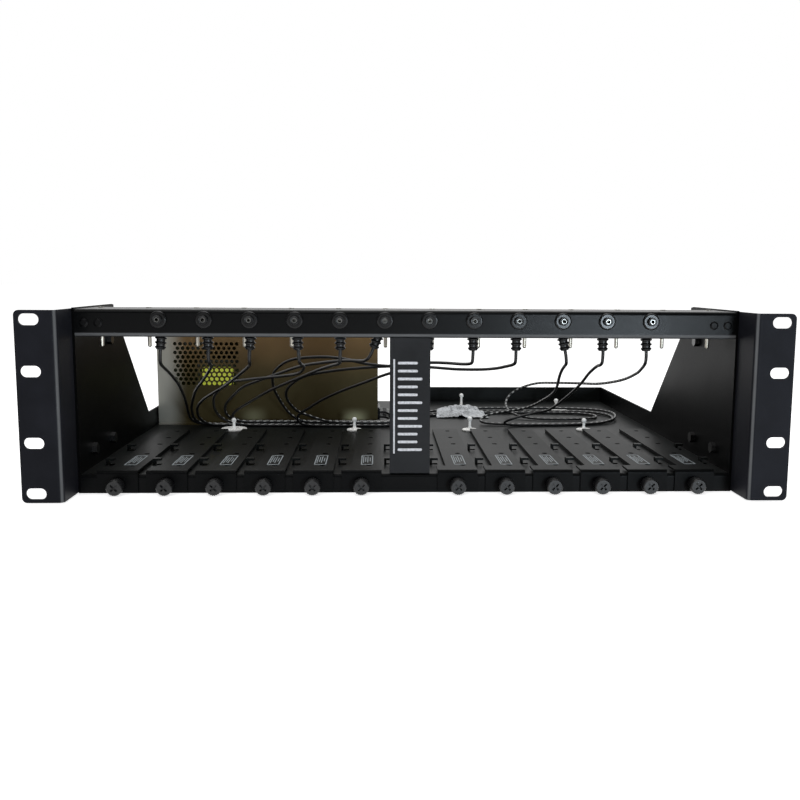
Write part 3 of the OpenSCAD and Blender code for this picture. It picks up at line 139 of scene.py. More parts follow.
# Routes of the leads, from the gland to the plug, in millimetres and back from the ear face
LEAD_ROUTES = (
    (
        (-19.4, 262, 17), (-16.4, 262, 17), (-12.2, 260.2, 16.2), (-10.5, 256, 15), (-10.5, 251, 14),
        (-13.6, 244.4, 13.6), (-20, 241.5, 13.6), (-29, 241.5, 13.6), (-50, 241.5, 13.6),
        (-90, 241.5, 13.6), (-130, 241.5, 13.6), (-165, 241.5, 13.6), (-173, 240.6, 14), (-179, 237, 16),
        (-181.6, 229, 20.5), (-180.6, 213, 29), (-176.5, 182, 43), (-171.5, 135, 60), (-168.3, 92, 72.5),
        (-165.8, 62, 79.6), (-164.6, 49, 82.8), (-163.9, 43.4, 85.4), (-163.4, 41.5, 89.8),
        (-163.1, 41.5, 93.4),
    ),
    (
        (-19.4, 266.2, 17), (-16.4, 266.2, 17), (-10.5, 264, 16.4), (-8, 259, 15), (-8, 251, 14),
        (-11.4, 242.6, 13.6), (-20, 239, 13.6), (-29, 239, 13.6), (-50, 239, 13.6), (-90, 239, 13.6),
        (-130, 239, 13.6), (-160, 239, 13.6), (-169, 238.4, 14), (-175, 234.6, 16), (-178, 226, 21),
        (-177, 212, 29), (-173.4, 194, 37), (-163, 158, 53), (-152, 128, 63.5), (-138.6, 84, 76.4),
        (-134, 62, 81), (-132.5, 49, 83.2), (-132.2, 43.4, 85.4), (-132.2, 41.5, 89.6),
        (-132.1, 41.5, 93.3),
    ),
    (
        (-19.4, 270.4, 17), (-16.4, 270.4, 17), (-8.5, 268, 16.4), (-5.5, 262, 15), (-5.5, 251, 14),
        (-9.3, 240.6, 13.6), (-20, 236.5, 13.6), (-29, 236.5, 13.6), (-50, 236.5, 13.6), (-90, 236.5, 13.6),
        (-130, 236.5, 13.6), (-155, 236.5, 13.6), (-164, 235.6, 14.2), (-170.6, 231, 17),
        (-173.4, 221, 23.6), (-171, 205, 33), (-162, 184, 42.5), (-150, 163, 50.5), (-138, 143, 58),
        (-124, 110, 68.5), (-113.6, 82, 76.6), (-108.4, 62, 81), (-106.2, 49, 83.2), (-105.7, 43.4, 85.4),
        (-105.4, 41.5, 89.8), (-105.1, 41.5, 93.4),
    ),
    (
        (-19.4, 274.6, 17), (-16.4, 274.6, 17), (-6.4, 272, 16.4), (-3, 265, 15), (-3, 251, 14),
        (-7.2, 238.8, 13.6), (-20, 234, 13.6), (-29, 234, 13.6), (-50, 234, 13.6), (-90, 234, 13.6),
        (-124, 234, 13.6), (-138, 233.8, 14.4), (-149, 230.6, 17.4), (-156.4, 224, 23.4),
        (-158.6, 213, 32.4), (-156, 200, 43.2), (-148, 189, 51.4), (-139, 178, 57.4), (-122, 156, 61.6),
        (-95, 127, 67), (-80, 107, 71), (-73.8, 85, 76.4), (-72, 64, 80.8), (-72.5, 49.4, 83.4),
        (-72.9, 43.4, 85.6), (-73.1, 41.5, 89.8), (-73.4, 41.5, 93.4),
    ),
    (
        (-19.4, 266.2, 21.5), (-15.4, 266.2, 21.5), (-9.4, 264.2, 20), (-6.7, 259, 18), (-6.7, 251, 16.4),
        (-10.4, 241.6, 16.1), (-20, 237.7, 16.1), (-29, 237.7, 16.1), (-50, 237.7, 16.1),
        (-90, 237.7, 16.1), (-122, 237.7, 16.1), (-135, 237.6, 16.3), (-143, 235.6, 18),
        (-145.8, 229, 22.4), (-141, 219, 28.6), (-126.4, 195, 39), (-107.4, 165, 51.6), (-90, 140, 61),
        (-76, 115, 68.6), (-63, 88, 75.8), (-52.6, 66, 80.8), (-47.4, 50, 83.4), (-46.2, 43.6, 85.4),
        (-45.9, 41.5, 89.6), (-45.8, 41.5, 93.3),
    ),
    (
        (-19.4, 262, 21.5), (-15.4, 262, 21.5), (-11, 260, 20), (-9.2, 256, 18), (-9.2, 251, 16.4),
        (-12.4, 243.4, 16.1), (-20, 240.2, 16.1), (-29, 240.2, 16.1), (-50, 240.2, 16.1),
        (-90, 240.2, 16.1), (-130, 240.2, 16.1), (-141, 240.2, 16.3), (-149.4, 238.6, 19.6),
        (-152.6, 232.6, 26), (-150.6, 223.4, 33), (-145, 211.6, 39.4), (-139.6, 199, 44.6),
        (-130, 184, 52.8), (-115, 169, 59.6), (-97, 145, 67.6), (-77.4, 120, 75.6), (-58, 95, 80.6),
        (-43, 74, 83.6), (-34.6, 60, 84.6), (-30.2, 49.8, 85.6), (-27.4, 43.8, 87.8), (-25.3, 41.5, 91.4),
        (-24, 41.5, 94.8),
    ),
    (
        (-19.4, 278.8, 17), (-16.4, 278.8, 17), (-4.4, 276, 16.4), (-0.5, 268, 15), (-0.5, 251, 14),
        (-5, 236.8, 13.6), (-20, 231.5, 13.6), (-29, 231.5, 13.6), (-40, 231.5, 13.6), (-62, 231.5, 13.6),
        (-78, 231.4, 13.9), (-87, 228.6, 16), (-90, 221, 21), (-86, 211, 27.6), (-79, 198.6, 33),
        (-66.6, 180, 42.5), (-50.4, 160, 52), (-31, 138, 61.6), (-13, 118, 70.2), (0, 98, 75),
        (8.4, 76, 79.4), (11.6, 62, 81.6), (12.4, 49, 83.4), (12.5, 43.4, 85.4), (12.5, 41.5, 89.6),
        (12.5, 41.5, 93.3),
    ),
    (
        (-19.4, 270.4, 21.5), (-15.4, 270.4, 21.5), (-7.4, 268.4, 20), (-4.2, 262, 18), (-4.2, 251, 16.4),
        (-8.2, 239.7, 16.1), (-20, 235.2, 16.1), (-29, 235.2, 16.1), (-45, 235.2, 16.1), (-70, 235.2, 16.1),
        (-84, 235, 16.8), (-93, 233, 20.6), (-99.6, 227, 28), (-105.4, 214, 41), (-107.6, 200, 51.4),
        (-105.6, 182, 63), (-100, 170, 70), (-91, 160, 76), (-78, 150, 79.2), (-60, 140, 80.6),
        (-45, 130, 79.8), (-30, 120, 77.4), (-13, 110, 76.6), (2, 103, 78), (15, 95, 80.4), (27, 82, 81.4),
        (36, 65, 82.2), (40.6, 51, 83.6), (41.8, 43.8, 85.4), (42, 41.5, 89.6), (42.1, 41.5, 93.3),
    ),
    (
        (-19.4, 274.6, 21.5), (-15.4, 274.6, 21.5), (-5.2, 272.4, 20), (-1.7, 265, 18), (-1.7, 251, 16.4),
        (-6.1, 237.8, 16.1), (-20, 232.7, 16.1), (-29, 232.7, 16.1), (-38, 232.7, 16.1), (-56, 232.6, 16.5),
        (-68, 231.4, 18.2), (-80, 228.6, 22.6), (-90, 221.6, 28), (-96.4, 209, 38), (-96.4, 194, 47.4),
        (-90, 180, 56), (-77, 165, 64), (-54, 150, 69.4), (-31, 140, 72.6), (-13, 131, 74.4), (4, 125, 75),
        (20, 119, 74.8), (36, 110, 74.4), (52, 97, 75.4), (62, 82, 77.6), (67.8, 66, 80.6),
        (70.2, 50.6, 83.2), (70.7, 43.6, 85.4), (70.7, 41.5, 89.6), (70.7, 41.5, 93.3),
    ),
    (
        (-19.4, 283, 17), (-14, 283, 16.6), (-6, 283.8, 14.8), (4, 287, 13.6), (24, 299, 13.6),
        (52, 318, 13.6), (84, 324, 13.6), (126, 324, 13.6), (168, 322, 13.6), (188, 312, 13.6),
        (197, 292, 13.6), (192, 266, 13.6), (174, 248, 13.6), (146, 240.6, 13.6), (116, 239, 13.6),
        (92, 240.2, 13.6), (76, 243.8, 13.9), (70.2, 250.4, 15.4), (76.8, 257, 19), (91.4, 245.6, 24),
        (108.8, 226, 30.6), (118, 196, 41.4), (119.4, 165, 50.4), (117, 138, 58.6), (112.4, 106, 68.8),
        (109.4, 82, 76), (107.4, 62, 81), (106, 49.4, 83.6), (105, 43.4, 86), (104.2, 41.5, 90.2),
        (103.5, 41.5, 93.7),
    ),
    (
        (-19.4, 283, 21.5), (-13, 283, 20.6), (-3, 284.6, 17.6), (8, 291, 16.2), (28, 304, 16.1),
        (54, 321, 16.1), (86, 326.6, 16.1), (128, 326.6, 16.1), (170, 324, 16.1), (191, 313, 16.1),
        (199.6, 292, 16.1), (194, 264, 15.4), (176, 245, 14), (148, 237.6, 13.6), (120, 236, 13.6),
        (104, 235, 13.7), (94, 232.6, 14.4), (88.8, 227.4, 16.8), (92.6, 221.8, 20.4), (103, 220.4, 23.8),
        (115, 217.4, 27), (124.6, 206, 31.6), (131.6, 168, 47.4), (133.2, 130, 61), (131.4, 92, 73.4),
        (129.8, 62, 81), (129.3, 49, 83.2), (129.2, 43.4, 85.4), (129.1, 41.5, 89.6), (129.1, 41.5, 93.3),
    ),
    (
        (-19.4, 278.8, 21.5), (-13, 279, 20.2), (-3, 280, 16.6), (8, 283.6, 14.4), (28, 294, 13.6),
        (54, 308, 13.6), (86, 313, 13.6), (126, 313, 13.6), (160, 311, 13.6), (177, 303, 13.6),
        (183, 290, 13.6), (177, 277, 13.6), (160, 270, 13.6), (136, 270, 13.6), (118, 276, 13.9),
        (106.6, 288, 15.4), (101.6, 304, 18.4), (101.8, 318, 23), (107, 324, 30), (116, 318, 37),
        (127, 294, 44), (138, 262, 48), (151, 222, 52), (160, 182, 56), (167, 138, 63.6), (168, 100, 72.4),
        (164, 70, 79.4), (160.2, 52, 82.8), (158.7, 43.8, 85.4), (158.4, 41.5, 89.6), (158.2, 41.5, 93.3),
    ),
)


def lead_path(route, steps):
    """Points along a lead's route, in metres."""
    return smooth_route([spot(*point) for point in route], steps)


def plug_place(number):
    """Middle of a parked plug's barrel, on the face of the rail."""
    across = PLUG_SHIFT + PLUG_PITCH * (number - (len(BAYS) + 1) / 2)
    return Vector((across, RAIL_FACE, PLUG_Z))


class Field:
    """A socket that varies over a surface; arithmetic on it adds Math nodes."""

    def __init__(self, shading, socket):
        self.shading = shading
        self.socket = socket

    def maths(self, operation, *values):
        return self.shading.node("ShaderNodeMath", {"operation": operation}, dict(enumerate(values)))

    def __add__(self, other):
        return self.maths("ADD", self, other)

    def __sub__(self, other):
        return self.maths("SUBTRACT", self, other)

    def __rsub__(self, other):
        return self.maths("SUBTRACT", other, self)

    def __mul__(self, other):
        return self.maths("MULTIPLY", self, other)

    def __mod__(self, other):
        return self.maths("FLOORED_MODULO", self, other)

    def __abs__(self):
        return self.maths("ABSOLUTE", self)

    __radd__ = __add__
    __rmul__ = __mul__

    def spread(self, low, high, to_low=0.0, to_high=1.0):
        """This value, carried smoothly from one range to another and held at its ends."""
        return self.shading.node(
            "ShaderNodeMapRange",
            {"interpolation_type": "SMOOTHSTEP", "clamp": True},
            {"Value": self, "From Min": low, "From Max": high, "To Min": to_low, "To Max": to_high},
        )


class Shading:
    """A node tree that is filled by calls and by expressions on its fields."""

    def __init__(self, tree):
        self.tree = tree

    def node(self, kind, settings, inputs, output=0):
        made = self.tree.nodes.new(kind)
        for name, value in settings.items():
            setattr(made, name, value)
        for name, value in inputs.items():
            if isinstance(value, Field):
                self.tree.links.new(value.socket, made.inputs[name])
            else:
                made.inputs[name].default_value = value
        return Field(self, made.outputs[output])

    def mix(self, factor, first, second):
        """A colour between two, by a factor."""
        return self.node("ShaderNodeMix", {"data_type": "RGBA"}, {0: factor, 6: first, 7: second}, 2)

    def place(self):
        """The place of a point, in metres."""
        return self.node("ShaderNodeTexCoord", {}, {}, "Object")

    def stretched(self, x, y, z):
        """The place of a point, stretched along each axis."""
        return self.node("ShaderNodeVectorMath", {"operation": "MULTIPLY"}, {0: self.place(), 1: (x, y, z)})

    def noise(self, scale, detail=2.0, roughness=0.5, where=None):
        where = where or self.place()
        inputs = {"Vector": where, "Scale": scale, "Detail": detail, "Roughness": roughness}
        return self.node("ShaderNodeTexNoise", {}, inputs)

    def cells(self, scale, where=None):
        inputs = {"Vector": where or self.place(), "Scale": scale}
        return self.node("ShaderNodeTexVoronoi", {}, inputs)

    def along(self, axis, where=None):
        """One coordinate of a place."""
        return self.node("ShaderNodeSeparateXYZ", {}, {0: where or self.place()}, axis)


class Finish(Shading):
    """A material: uniform values on its shader, and fields that vary over the surface."""

    def __init__(self, name, **uniform):
        self.material = bpy.data.materials.new(name)
        self.material.use_nodes = True
        super().__init__(self.material.node_tree)
        self.shader = self.tree.nodes["Principled BSDF"]
        for key, value in uniform.items():
            self.shader.inputs[key.replace("_", " ").title().replace("Ior", "IOR")].default_value = value

    def feed(self, name, field):
        self.tree.links.new(field.socket, self.shader.inputs[name])

    def tint(self, factor, first, second):
        self.feed("Base Color", self.mix(factor, (*first, 1), (*second, 1)))

    def grain(self, height, strength, depth):
        """Relief of a given depth in metres."""
        inputs = {"Strength": strength, "Distance": depth, "Height": height}
        self.feed("Normal", self.node("ShaderNodeBump", {}, inputs))


def shades(colour, darker, lighter):
    """A darker and a lighter shade of a colour."""
    return [c * darker for c in colour[:3]], [c * lighter for c in colour[:3]]


def powder_coat(name, colour, rough, level, band=None, band_colour=(0, 0, 0)):
    """Baked powder coat: fine pimples, cloudy gloss and, where a band is given, another shade."""
    coat = Finish(name, specular_ior_level=level)
    cloud = coat.noise(18.0, 4.0, 0.6)
    pimples = coat.noise(1500.0, 3.0, 0.6)
    dark, light = shades(colour, 0.75, 1.3)
    body = coat.mix(cloud.spread(0.3, 0.7), (*dark, 1), (*light, 1))
    if band:
        # A random mottle over the band of painted light or shade
        band_mottle = coat.noise(60.0, 4.0, 0.6)
        body = coat.mix(band(coat) * (0.7 + 0.5 * band_mottle), body, (*band_colour, 1))
    coat.feed("Base Color", body)
    coat.feed("Roughness", rough + cloud * 0.1 + pimples * 0.12 - 0.11)
    coat.grain(pimples, 0.35, 0.00006)
    return coat


def rail_bend_painted_highlight(coat):
    """The bend along the rail's lower edge."""
    up, back = coat.along(2), coat.along(1)
    low = RAIL_LOW.z
    rise = up.spread(low + 0.1 * MM, low + 0.8 * MM)
    rise = rise * (1 - up.spread(low + 1.9 * MM, low + 3.0 * MM))
    return rise * (1 - back.spread(RAIL_FACE + 2.2 * MM, RAIL_FACE + 2.8 * MM))


def ear_bend_painted_highlight(coat):
    """The bend between an ear's face and its leg."""
    across, back = abs(coat.along(0)), coat.along(1)
    ridge = across.spread(EAR_INNER + 0.2 * MM, EAR_INNER + 0.9 * MM)
    ridge = ridge * (1 - across.spread(EAR_INNER + 1.4 * MM, EAR_INNER + 2.3 * MM))
    return ridge * (1 - back.spread(FRONT + 1.6 * MM, FRONT + 2.6 * MM))


def plate_lip_painted_shade(coat):
    """The front of a slot plate, which gets less dust and rubbing than its top."""
    return 1 - coat.along(1).spread(PLATE_LOW.y + 1.6 * MM, PLATE_LOW.y + 2.6 * MM)


def tray_lip_beside_painted_light(coat):
    """The tray's front lip, which is as dark as the walls."""
    return 1 - coat.along(1).spread(PLATE_LOW.y + 4.2 * MM, PLATE_LOW.y + 5.2 * MM)


def turned_steel(name, colour, rough):
    """Bright turned steel with fine tool rings."""
    steel = Finish(name, metallic=1.0)
    rings = steel.noise(1.0, 2.0, 0.5, steel.stretched(60, 60, 5200))
    spots = steel.noise(420.0, 3.0, 0.6)
    dark, light = shades(colour, 0.8, 1.08)
    steel.tint(spots.spread(0.35, 0.65), dark, light)
    steel.feed("Roughness", rough + rings * 0.16 - 0.05)
    steel.grain(rings, 0.25, 0.00003)
    return steel


def rubber(name, colour, rough, level):
    """Moulded rubber or soft plastic, with a fine skin."""
    skin = Finish(name, specular_ior_level=level)
    pores = skin.noise(2600.0, 3.0, 0.55)
    wipe = skin.noise(90.0, 3.0, 0.55)
    dark, light = shades(colour, 0.75, 1.35)
    skin.tint(wipe.spread(0.3, 0.7), dark, light)
    skin.feed("Roughness", rough + wipe * 0.16 + pores * 0.06 - 0.11)
    skin.grain(pores, 0.25, 0.00004)
    return skin


def black_oxide(name, colour, rough):
    """Blackened steel, rubbed a little brighter in spots."""
    oxide = Finish(name, metallic=0.1, specular_ior_level=0.15)
    worn = oxide.noise(260.0, 4.0, 0.65)
    streaks = oxide.noise(1.0, 2.0, 0.5, oxide.stretched(900, 160, 900))
    dark, light = shades(colour, 0.7, 1.7)
    oxide.tint(worn.spread(0.52, 0.75), dark, light)
    oxide.feed("Roughness", rough + streaks * 0.18 - 0.09)
    oxide.grain(streaks, 0.2, 0.00004)
    return oxide


def zinc_sheet(name, colour, band_colour, rough):
    """Rolled zinc-coated sheet: fine rolling lines, stains, a paler left side and two pale spots."""
    zinc = Finish(name, metallic=0.35, specular_ior_level=0.15)
    rolled = zinc.noise(1.0, 3.0, 0.6, zinc.stretched(40, 40, 2400))
    spangle = zinc.cells(160.0)
    stains = zinc.noise(9.0, 4.0, 0.6)
    across, back, up = (zinc.along(axis) for axis in range(3))
    # Painted reflection: the left side paler, where the sheet mirrors bright surroundings
    pale = 1 - across.spread(SUPPLY_LOW.x + 8 * MM, SUPPLY_LOW.x + 26 * MM)
    # Painted reflection: olive and darker towards the bottom
    low = 1 - up.spread(SUPPLY_LOW.z + 34 * MM, SUPPLY_LOW.z + 84 * MM)
    dark, light = shades(colour, 0.75, 1.25)
    body = zinc.mix(stains.spread(0.3, 0.7), (*dark, 1), (*light, 1))
    olive = (colour[0] * 0.22, colour[1] * 0.32, colour[2] * 0.28, 1)
    body = zinc.mix(low * 0.9, body, olive)
    warm = (band_colour[0] * 1.3, band_colour[1] * 1.3, band_colour[2] * 0.9, 1)
    face = 1 - back.spread(SUPPLY_LOW.y + 1 * MM, SUPPLY_LOW.y + 6 * MM)
    # Two painted highlights: pale warm spots low on the face
    for x, z, bright in ((-41.5, 16, 0.75), (-130.5, 18, 0.35)):
        shine = 1 - abs(across - x * MM).spread(0.0, 15 * MM)
        shine = shine * face * (1 - abs(up - z * MM).spread(0.0, 12 * MM))
        body = zinc.mix(shine * bright, body, warm)
    zinc.feed("Base Color", zinc.mix(pale * (0.55 + 0.45 * stains), body, (*band_colour, 1)))
    zinc.feed("Roughness", rough + rolled * 0.14 + spangle * 0.08 - 0.1)
    zinc.grain(rolled, 0.18, 0.00004)
    return zinc


def moulded(name, colour, rough, level, coat=0.0):
    """Moulded or painted part with faint flow marks."""
    part = Finish(name, specular_ior_level=level, coat_weight=coat)
    flow = part.noise(1.0, 3.0, 0.5, part.stretched(70, 70, 260))
    fine = part.noise(1900.0, 2.0, 0.5)
    dark, light = shades(colour, 0.86, 1.1)
    part.tint(flow.spread(0.3, 0.7), dark, light)
    part.feed("Roughness", rough + flow * 0.12 + fine * 0.05 - 0.08)
    part.grain(fine, 0.15, 0.00003)
    return part


def circuit_board(name, colour):
    """Solder mask over faint copper tracks."""
    board = Finish(name, specular_ior_level=0.5, coat_weight=0.4)
    tracks = board.node(
        "ShaderNodeTexBrick",
        {"offset": 0.37},
        {"Vector": board.place(), "Scale": 55.0, "Mortar Size": 0.035, "Mortar Smooth": 0.1},
        "Fac",
    )
    tone = board.noise(40.0, 3.0, 0.5)
    dark, light = shades(colour, 0.7, 1.5)
    board.tint(tracks * 0.6 + tone * 0.4, dark, light)
    board.feed("Roughness", 0.28 + tone * 0.2)
    board.grain(tracks, 0.4, 0.00005)
    return board


def wound_tape_painted_glow(name, colour):
    """Layers of polyester tape with the overlaps showing as bands."""
    tape = Finish(name, specular_ior_level=0.5, coat_weight=0.5, emission_strength=0.5)
    bands = tape.along(2) * 210.0 % 1.0
    creases = tape.noise(240.0, 3.0, 0.6)
    dark, light = shades(colour, 0.72, 1.1)
    shade = tape.mix(bands.spread(0.0, 0.25) * 0.7 + creases * 0.3, (*dark, 1), (*light, 1))
    tape.feed("Base Color", shade)
    # Painted glow: the tape's colour fed to its emission
    tape.feed("Emission Color", shade)
    tape.feed("Roughness", 0.22 + creases * 0.2)
    tape.grain(bands + creases * 0.6, 0.4, 0.00008)
    return tape


def lead_jacket(name, colour, stripe, pitch, share, width):
    """Smooth jacket with a dashed stripe along one side of the lead."""
    jacket = Finish(name, specular_ior_level=0.4)
    run = jacket.node("ShaderNodeUVMap", {"uv_map": "run"}, {})
    around, along = jacket.along(0, run), jacket.along(1, run)
    dash = (share * pitch - along % pitch).spread(0.0, 0.0003)
    line = dash * (1 - abs(around - 0.25).spread(width - 0.02, width))
    scuffs = jacket.noise(130.0, 3.0, 0.6)
    fine = jacket.noise(2200.0, 2.0, 0.5)
    dark, light = shades(colour, 0.8, 1.4)
    body = jacket.mix(scuffs.spread(0.35, 0.65), (*dark, 1), (*light, 1))
    jacket.feed("Base Color", jacket.mix(line * (0.7 + 0.3 * scuffs), body, (*stripe[:3], 1)))
    jacket.feed("Roughness", 0.34 + scuffs * 0.18 + line * 0.1)
    jacket.grain(fine, 0.2, 0.00003)
    return jacket


def silver_film(name, colour):
    """Metallised film with sharp fine creases."""
    film = Finish(name, metallic=1.0)
    creases = film.cells(330.0, film.node(
        "ShaderNodeVectorMath", {"operation": "ADD"},
        {0: film.place(), 1: film.node("ShaderNodeTexNoise", {}, {"Vector": film.place(), "Scale": 60.0}, 1)},
    ))
    tone = film.noise(120.0, 3.0, 0.6)
    dark, light = shades(colour, 0.7, 1.1)
    film.tint(tone.spread(0.35, 0.65), dark, light)
    film.feed("Roughness", 0.2 + tone * 0.18)
    film.grain(creases, 0.5, 0.0004)
    return film


def print_ink(name, colour):
    """Screen-printed ink, a little thin in places."""
    ink = Finish(name, specular_ior_level=0.3)
    thin = ink.noise(700.0, 3.0, 0.6)
    dark, light = shades(colour, 0.72, 1.05)
    ink.tint(thin.spread(0.3, 0.6), dark, light)
    ink.feed("Roughness", 0.5 + thin * 0.15)
    ink.grain(thin, 0.15, 0.00003)
    return ink


def link_piece(name, mesh, slot, crease, *finishes):
    """Puts a finished mesh in the scene, on the chassis, with its edges kept crisp."""
    for finish in finishes:
        mesh.materials.append(finish)
    mesh.polygons.foreach_set("use_smooth", [True] * len(mesh.polygons))
    mesh.set_sharp_from_angle(angle=math.radians(crease))
    piece = bpy.data.objects.new(name, mesh)
    bpy.context.scene.collection.objects.link(piece)
    return piece


def as_mesh(name, bm):
    """Closes a bmesh into a mesh with its normals outward."""
    bmesh.ops.recalc_face_normals(bm, faces=bm.faces)
    mesh = bpy.data.meshes.new(name)
    bm.to_mesh(mesh)
    bm.free()
    return mesh


def turn(bm, outline, place, steps=32, finish=lambda radius: 0):
    """Turns an outline of radius and height, from pole to pole, round its own Z axis."""
    rows = []
    for radius, height in outline:
        corners = 1 if radius == 0 else steps
        rows.append([
            bm.verts.new(place @ Vector((
                radius * math.cos(math.tau * k / steps), radius * math.sin(math.tau * k / steps), height
            )))
            for k in range(corners)
        ])
    for (low, high), (radius, _) in zip(zip(rows, rows[1:]), outline):
        for k in range(steps):
            n = (k + 1) % steps
            ring = [low[k % len(low)], low[n % len(low)], high[n % len(high)], high[k % len(high)]]
            face = bm.faces.new(list(dict.fromkeys(ring)))
            face.material_index = finish(radius)


def slab(bm, place, width, height, thick, corner, steps=4):
    """A thin rounded block: place carries its middle, with Z through its thickness."""
    outline = []
    for right, up, start in ((1, 1, 0), (-1, 1, 90), (-1, -1, 180), (1, -1, 270)):
        middle = Vector((right * (width / 2 - corner), up * (height / 2 - corner)))
        for k in range(steps + 1):
            angle = math.radians(start + 90 * k / steps)
            outline.append(middle + corner * Vector((math.cos(angle), math.sin(angle))))
    low = [bm.verts.new(place @ Vector((p.x, p.y, 0))) for p in outline]
    high = [bm.verts.new(place @ Vector((p.x, p.y, thick))) for p in outline]
    bm.faces.new(high)
    bm.faces.new(low[::-1])
    for k in range(len(low)):
        n = (k + 1) % len(low)
        bm.faces.new((low[k], low[n], high[n], high[k]))


def smooth_route(points, steps):
    """Points along the smooth curve through a route."""
    curve = []
    for i in range(len(points) - 1):
        a, b, c, d = (
            Vector(points[max(i - 1, 0)]), Vector(points[i]),
            Vector(points[i + 1]), Vector(points[min(i + 2, len(points) - 1)]),
        )
        for k in range(steps):
            t = k / steps
            bend = (2 * a - 5 * b + 4 * c - d) * t ** 2 + (3 * b - a - 3 * c + d) * t ** 3
            curve.append((2 * b + (c - a) * t + bend) / 2)
    return curve + [Vector(points[-1])]


def tube(name, path, radius, sides):
    """A closed tube along a path, with its run round and along it kept as UV."""
    bm = bmesh.new()
    side = Vector((0, 0, 1))
    rings = []
    for i, point in enumerate(path):
        ahead = (path[min(i + 1, len(path) - 1)] - path[max(i - 1, 0)]).normalized()
        side = (side - ahead * side.dot(ahead)).normalized()
        other = ahead.cross(side)
        rings.append([
            bm.verts.new(point + radius * (
                math.cos(math.tau * k / sides) * other + math.sin(math.tau * k / sides) * side
            ))
            for k in range(sides)
        ])
    run = bm.loops.layers.uv.new("run")
    far = 0.0
    for i in range(len(path) - 1):
        near, far = far, far + (path[i + 1] - path[i]).length
        for k in range(sides):
            n = (k + 1) % sides
            face = bm.faces.new((rings[i][k], rings[i][n], rings[i + 1][n], rings[i + 1][k]))
            places = ((k, near), (k + 1, near), (k + 1, far), (k, far))
            for loop, (step, length) in zip(face.loops, places):
                loop[run].uv = (step / sides, length)
    bm.faces.new(rings[0][::-1])
    bm.faces.new(rings[-1])
    return as_mesh(name, bm), far


def amount(name, description, default, unit=None, subtype=None, low=0.0, high=10.0):
    """A number that a user may change, with its unit or subtype where one fits."""
    extra = {}
    if unit:
        extra["unit"] = unit
    if subtype:
        extra["subtype"] = subtype
    return bpy.props.FloatProperty(
        name=name, description=description, default=default, min=low, max=high, precision=5, **extra
    )


def colour(name, description, default):
    return bpy.props.FloatVectorProperty(
        name=name, description=description, default=default, subtype="COLOR", size=3, min=0.0, max=1.0
    )


class StageSettings(bpy.types.PropertyGroup):
    """Light and floor of the stage."""

    key: amount("Key light", "Power of the soft light above the front", 8.0, unit="POWER", high=200.0)
    fill: amount("Fill light", "Power of the soft light at the left", 1.2, unit="POWER", high=200.0)
    top: amount("Top light", "Power of the soft light overhead", 9.0, unit="POWER", high=200.0)
    glint: amount("Glint", "Power of the small light that the rail mirrors", 7.0, unit="POWER", high=20.0)
    sky: amount("Sky", "Strength of the surroundings as a light", 0.42)
    front: amount("Front", "Brightness of the front in reflections", 0.04, subtype="FACTOR", high=1.0)
    floor_size: amount("Floor", "Width of the floor", 30.0, unit="LENGTH", high=60.0)
    floor_lift: amount("Floor lift", "Brightness added to the floor for the camera", 0.74, high=1.0)
    floor_colour: colour("Floor colour", "Colour of the floor", (0.8, 0.8, 0.8))


class LeadSettings(bpy.types.PropertyGroup):
    """Leads from the supply to the plugs."""

    diameter: amount("Diameter", "Diameter of a lead", 2.2 * MM, unit="LENGTH", low=0.001, high=0.003)
    jacket: colour("Jacket", "Colour of the jacket", (0.006, 0.006, 0.0065))
    stripe: colour("Stripe", "Colour of the dashed stripe", (0.42, 0.43, 0.42))
    pitch: amount("Dash pitch", "Distance from one dash to the next", 6 * MM, unit="LENGTH", high=0.05)
    dash: amount("Dash share", "Share of the pitch that a dash fills", 0.45, subtype="FACTOR", high=1.0)
    width: amount("Dash width", "Half the stripe's share of the girth", 0.11, subtype="FACTOR", high=0.5)


class PlugSettings(bpy.types.PropertyGroup):
    """Plugs parked in the rail."""

    moulding: colour("Moulding", "Colour of the moulded body", (0.005, 0.005, 0.0055))
    contact: colour("Contact", "Colour of the contact in the bore", (0.2, 0.2, 0.19))
    ribs: bpy.props.IntProperty(name="Ribs", description="Ribs of a strain relief", default=5, min=1, max=8)


class PrintSettings(bpy.types.PropertyGroup):
    """Plain marks on the slot plates and on the strut."""

    ink: colour("Ink", "Colour of the marks on the strut", (0.66, 0.66, 0.69))
    label_ink: colour("Label ink", "Colour of the marks on the slot plates", (0.36, 0.4, 0.42))
    label_width: amount("Label width", "Width of a slot plate's label", 8.2 * MM, unit="LENGTH", high=0.02)
    label_length: amount("Label length", "Length of a slot plate's label", 34 * MM, unit="LENGTH", high=0.06)
    line: amount("Line", "Width of a line", 0.7 * MM, unit="LENGTH", high=0.002)
    thick: amount("Thickness", "Thickness of the ink", 0.06 * MM, unit="LENGTH", high=0.001)


class FoilSettings(bpy.types.PropertyGroup):
    """Crumpled film that lies on the tray."""

    width: amount("Width", "Width of the film where it lies", 50 * MM, unit="LENGTH", high=0.2)
    depth: amount("Depth", "Depth of the film where it lies", 46 * MM, unit="LENGTH", high=0.2)
    film: colour("Film", "Colour of the film", (0.38, 0.395, 0.41))


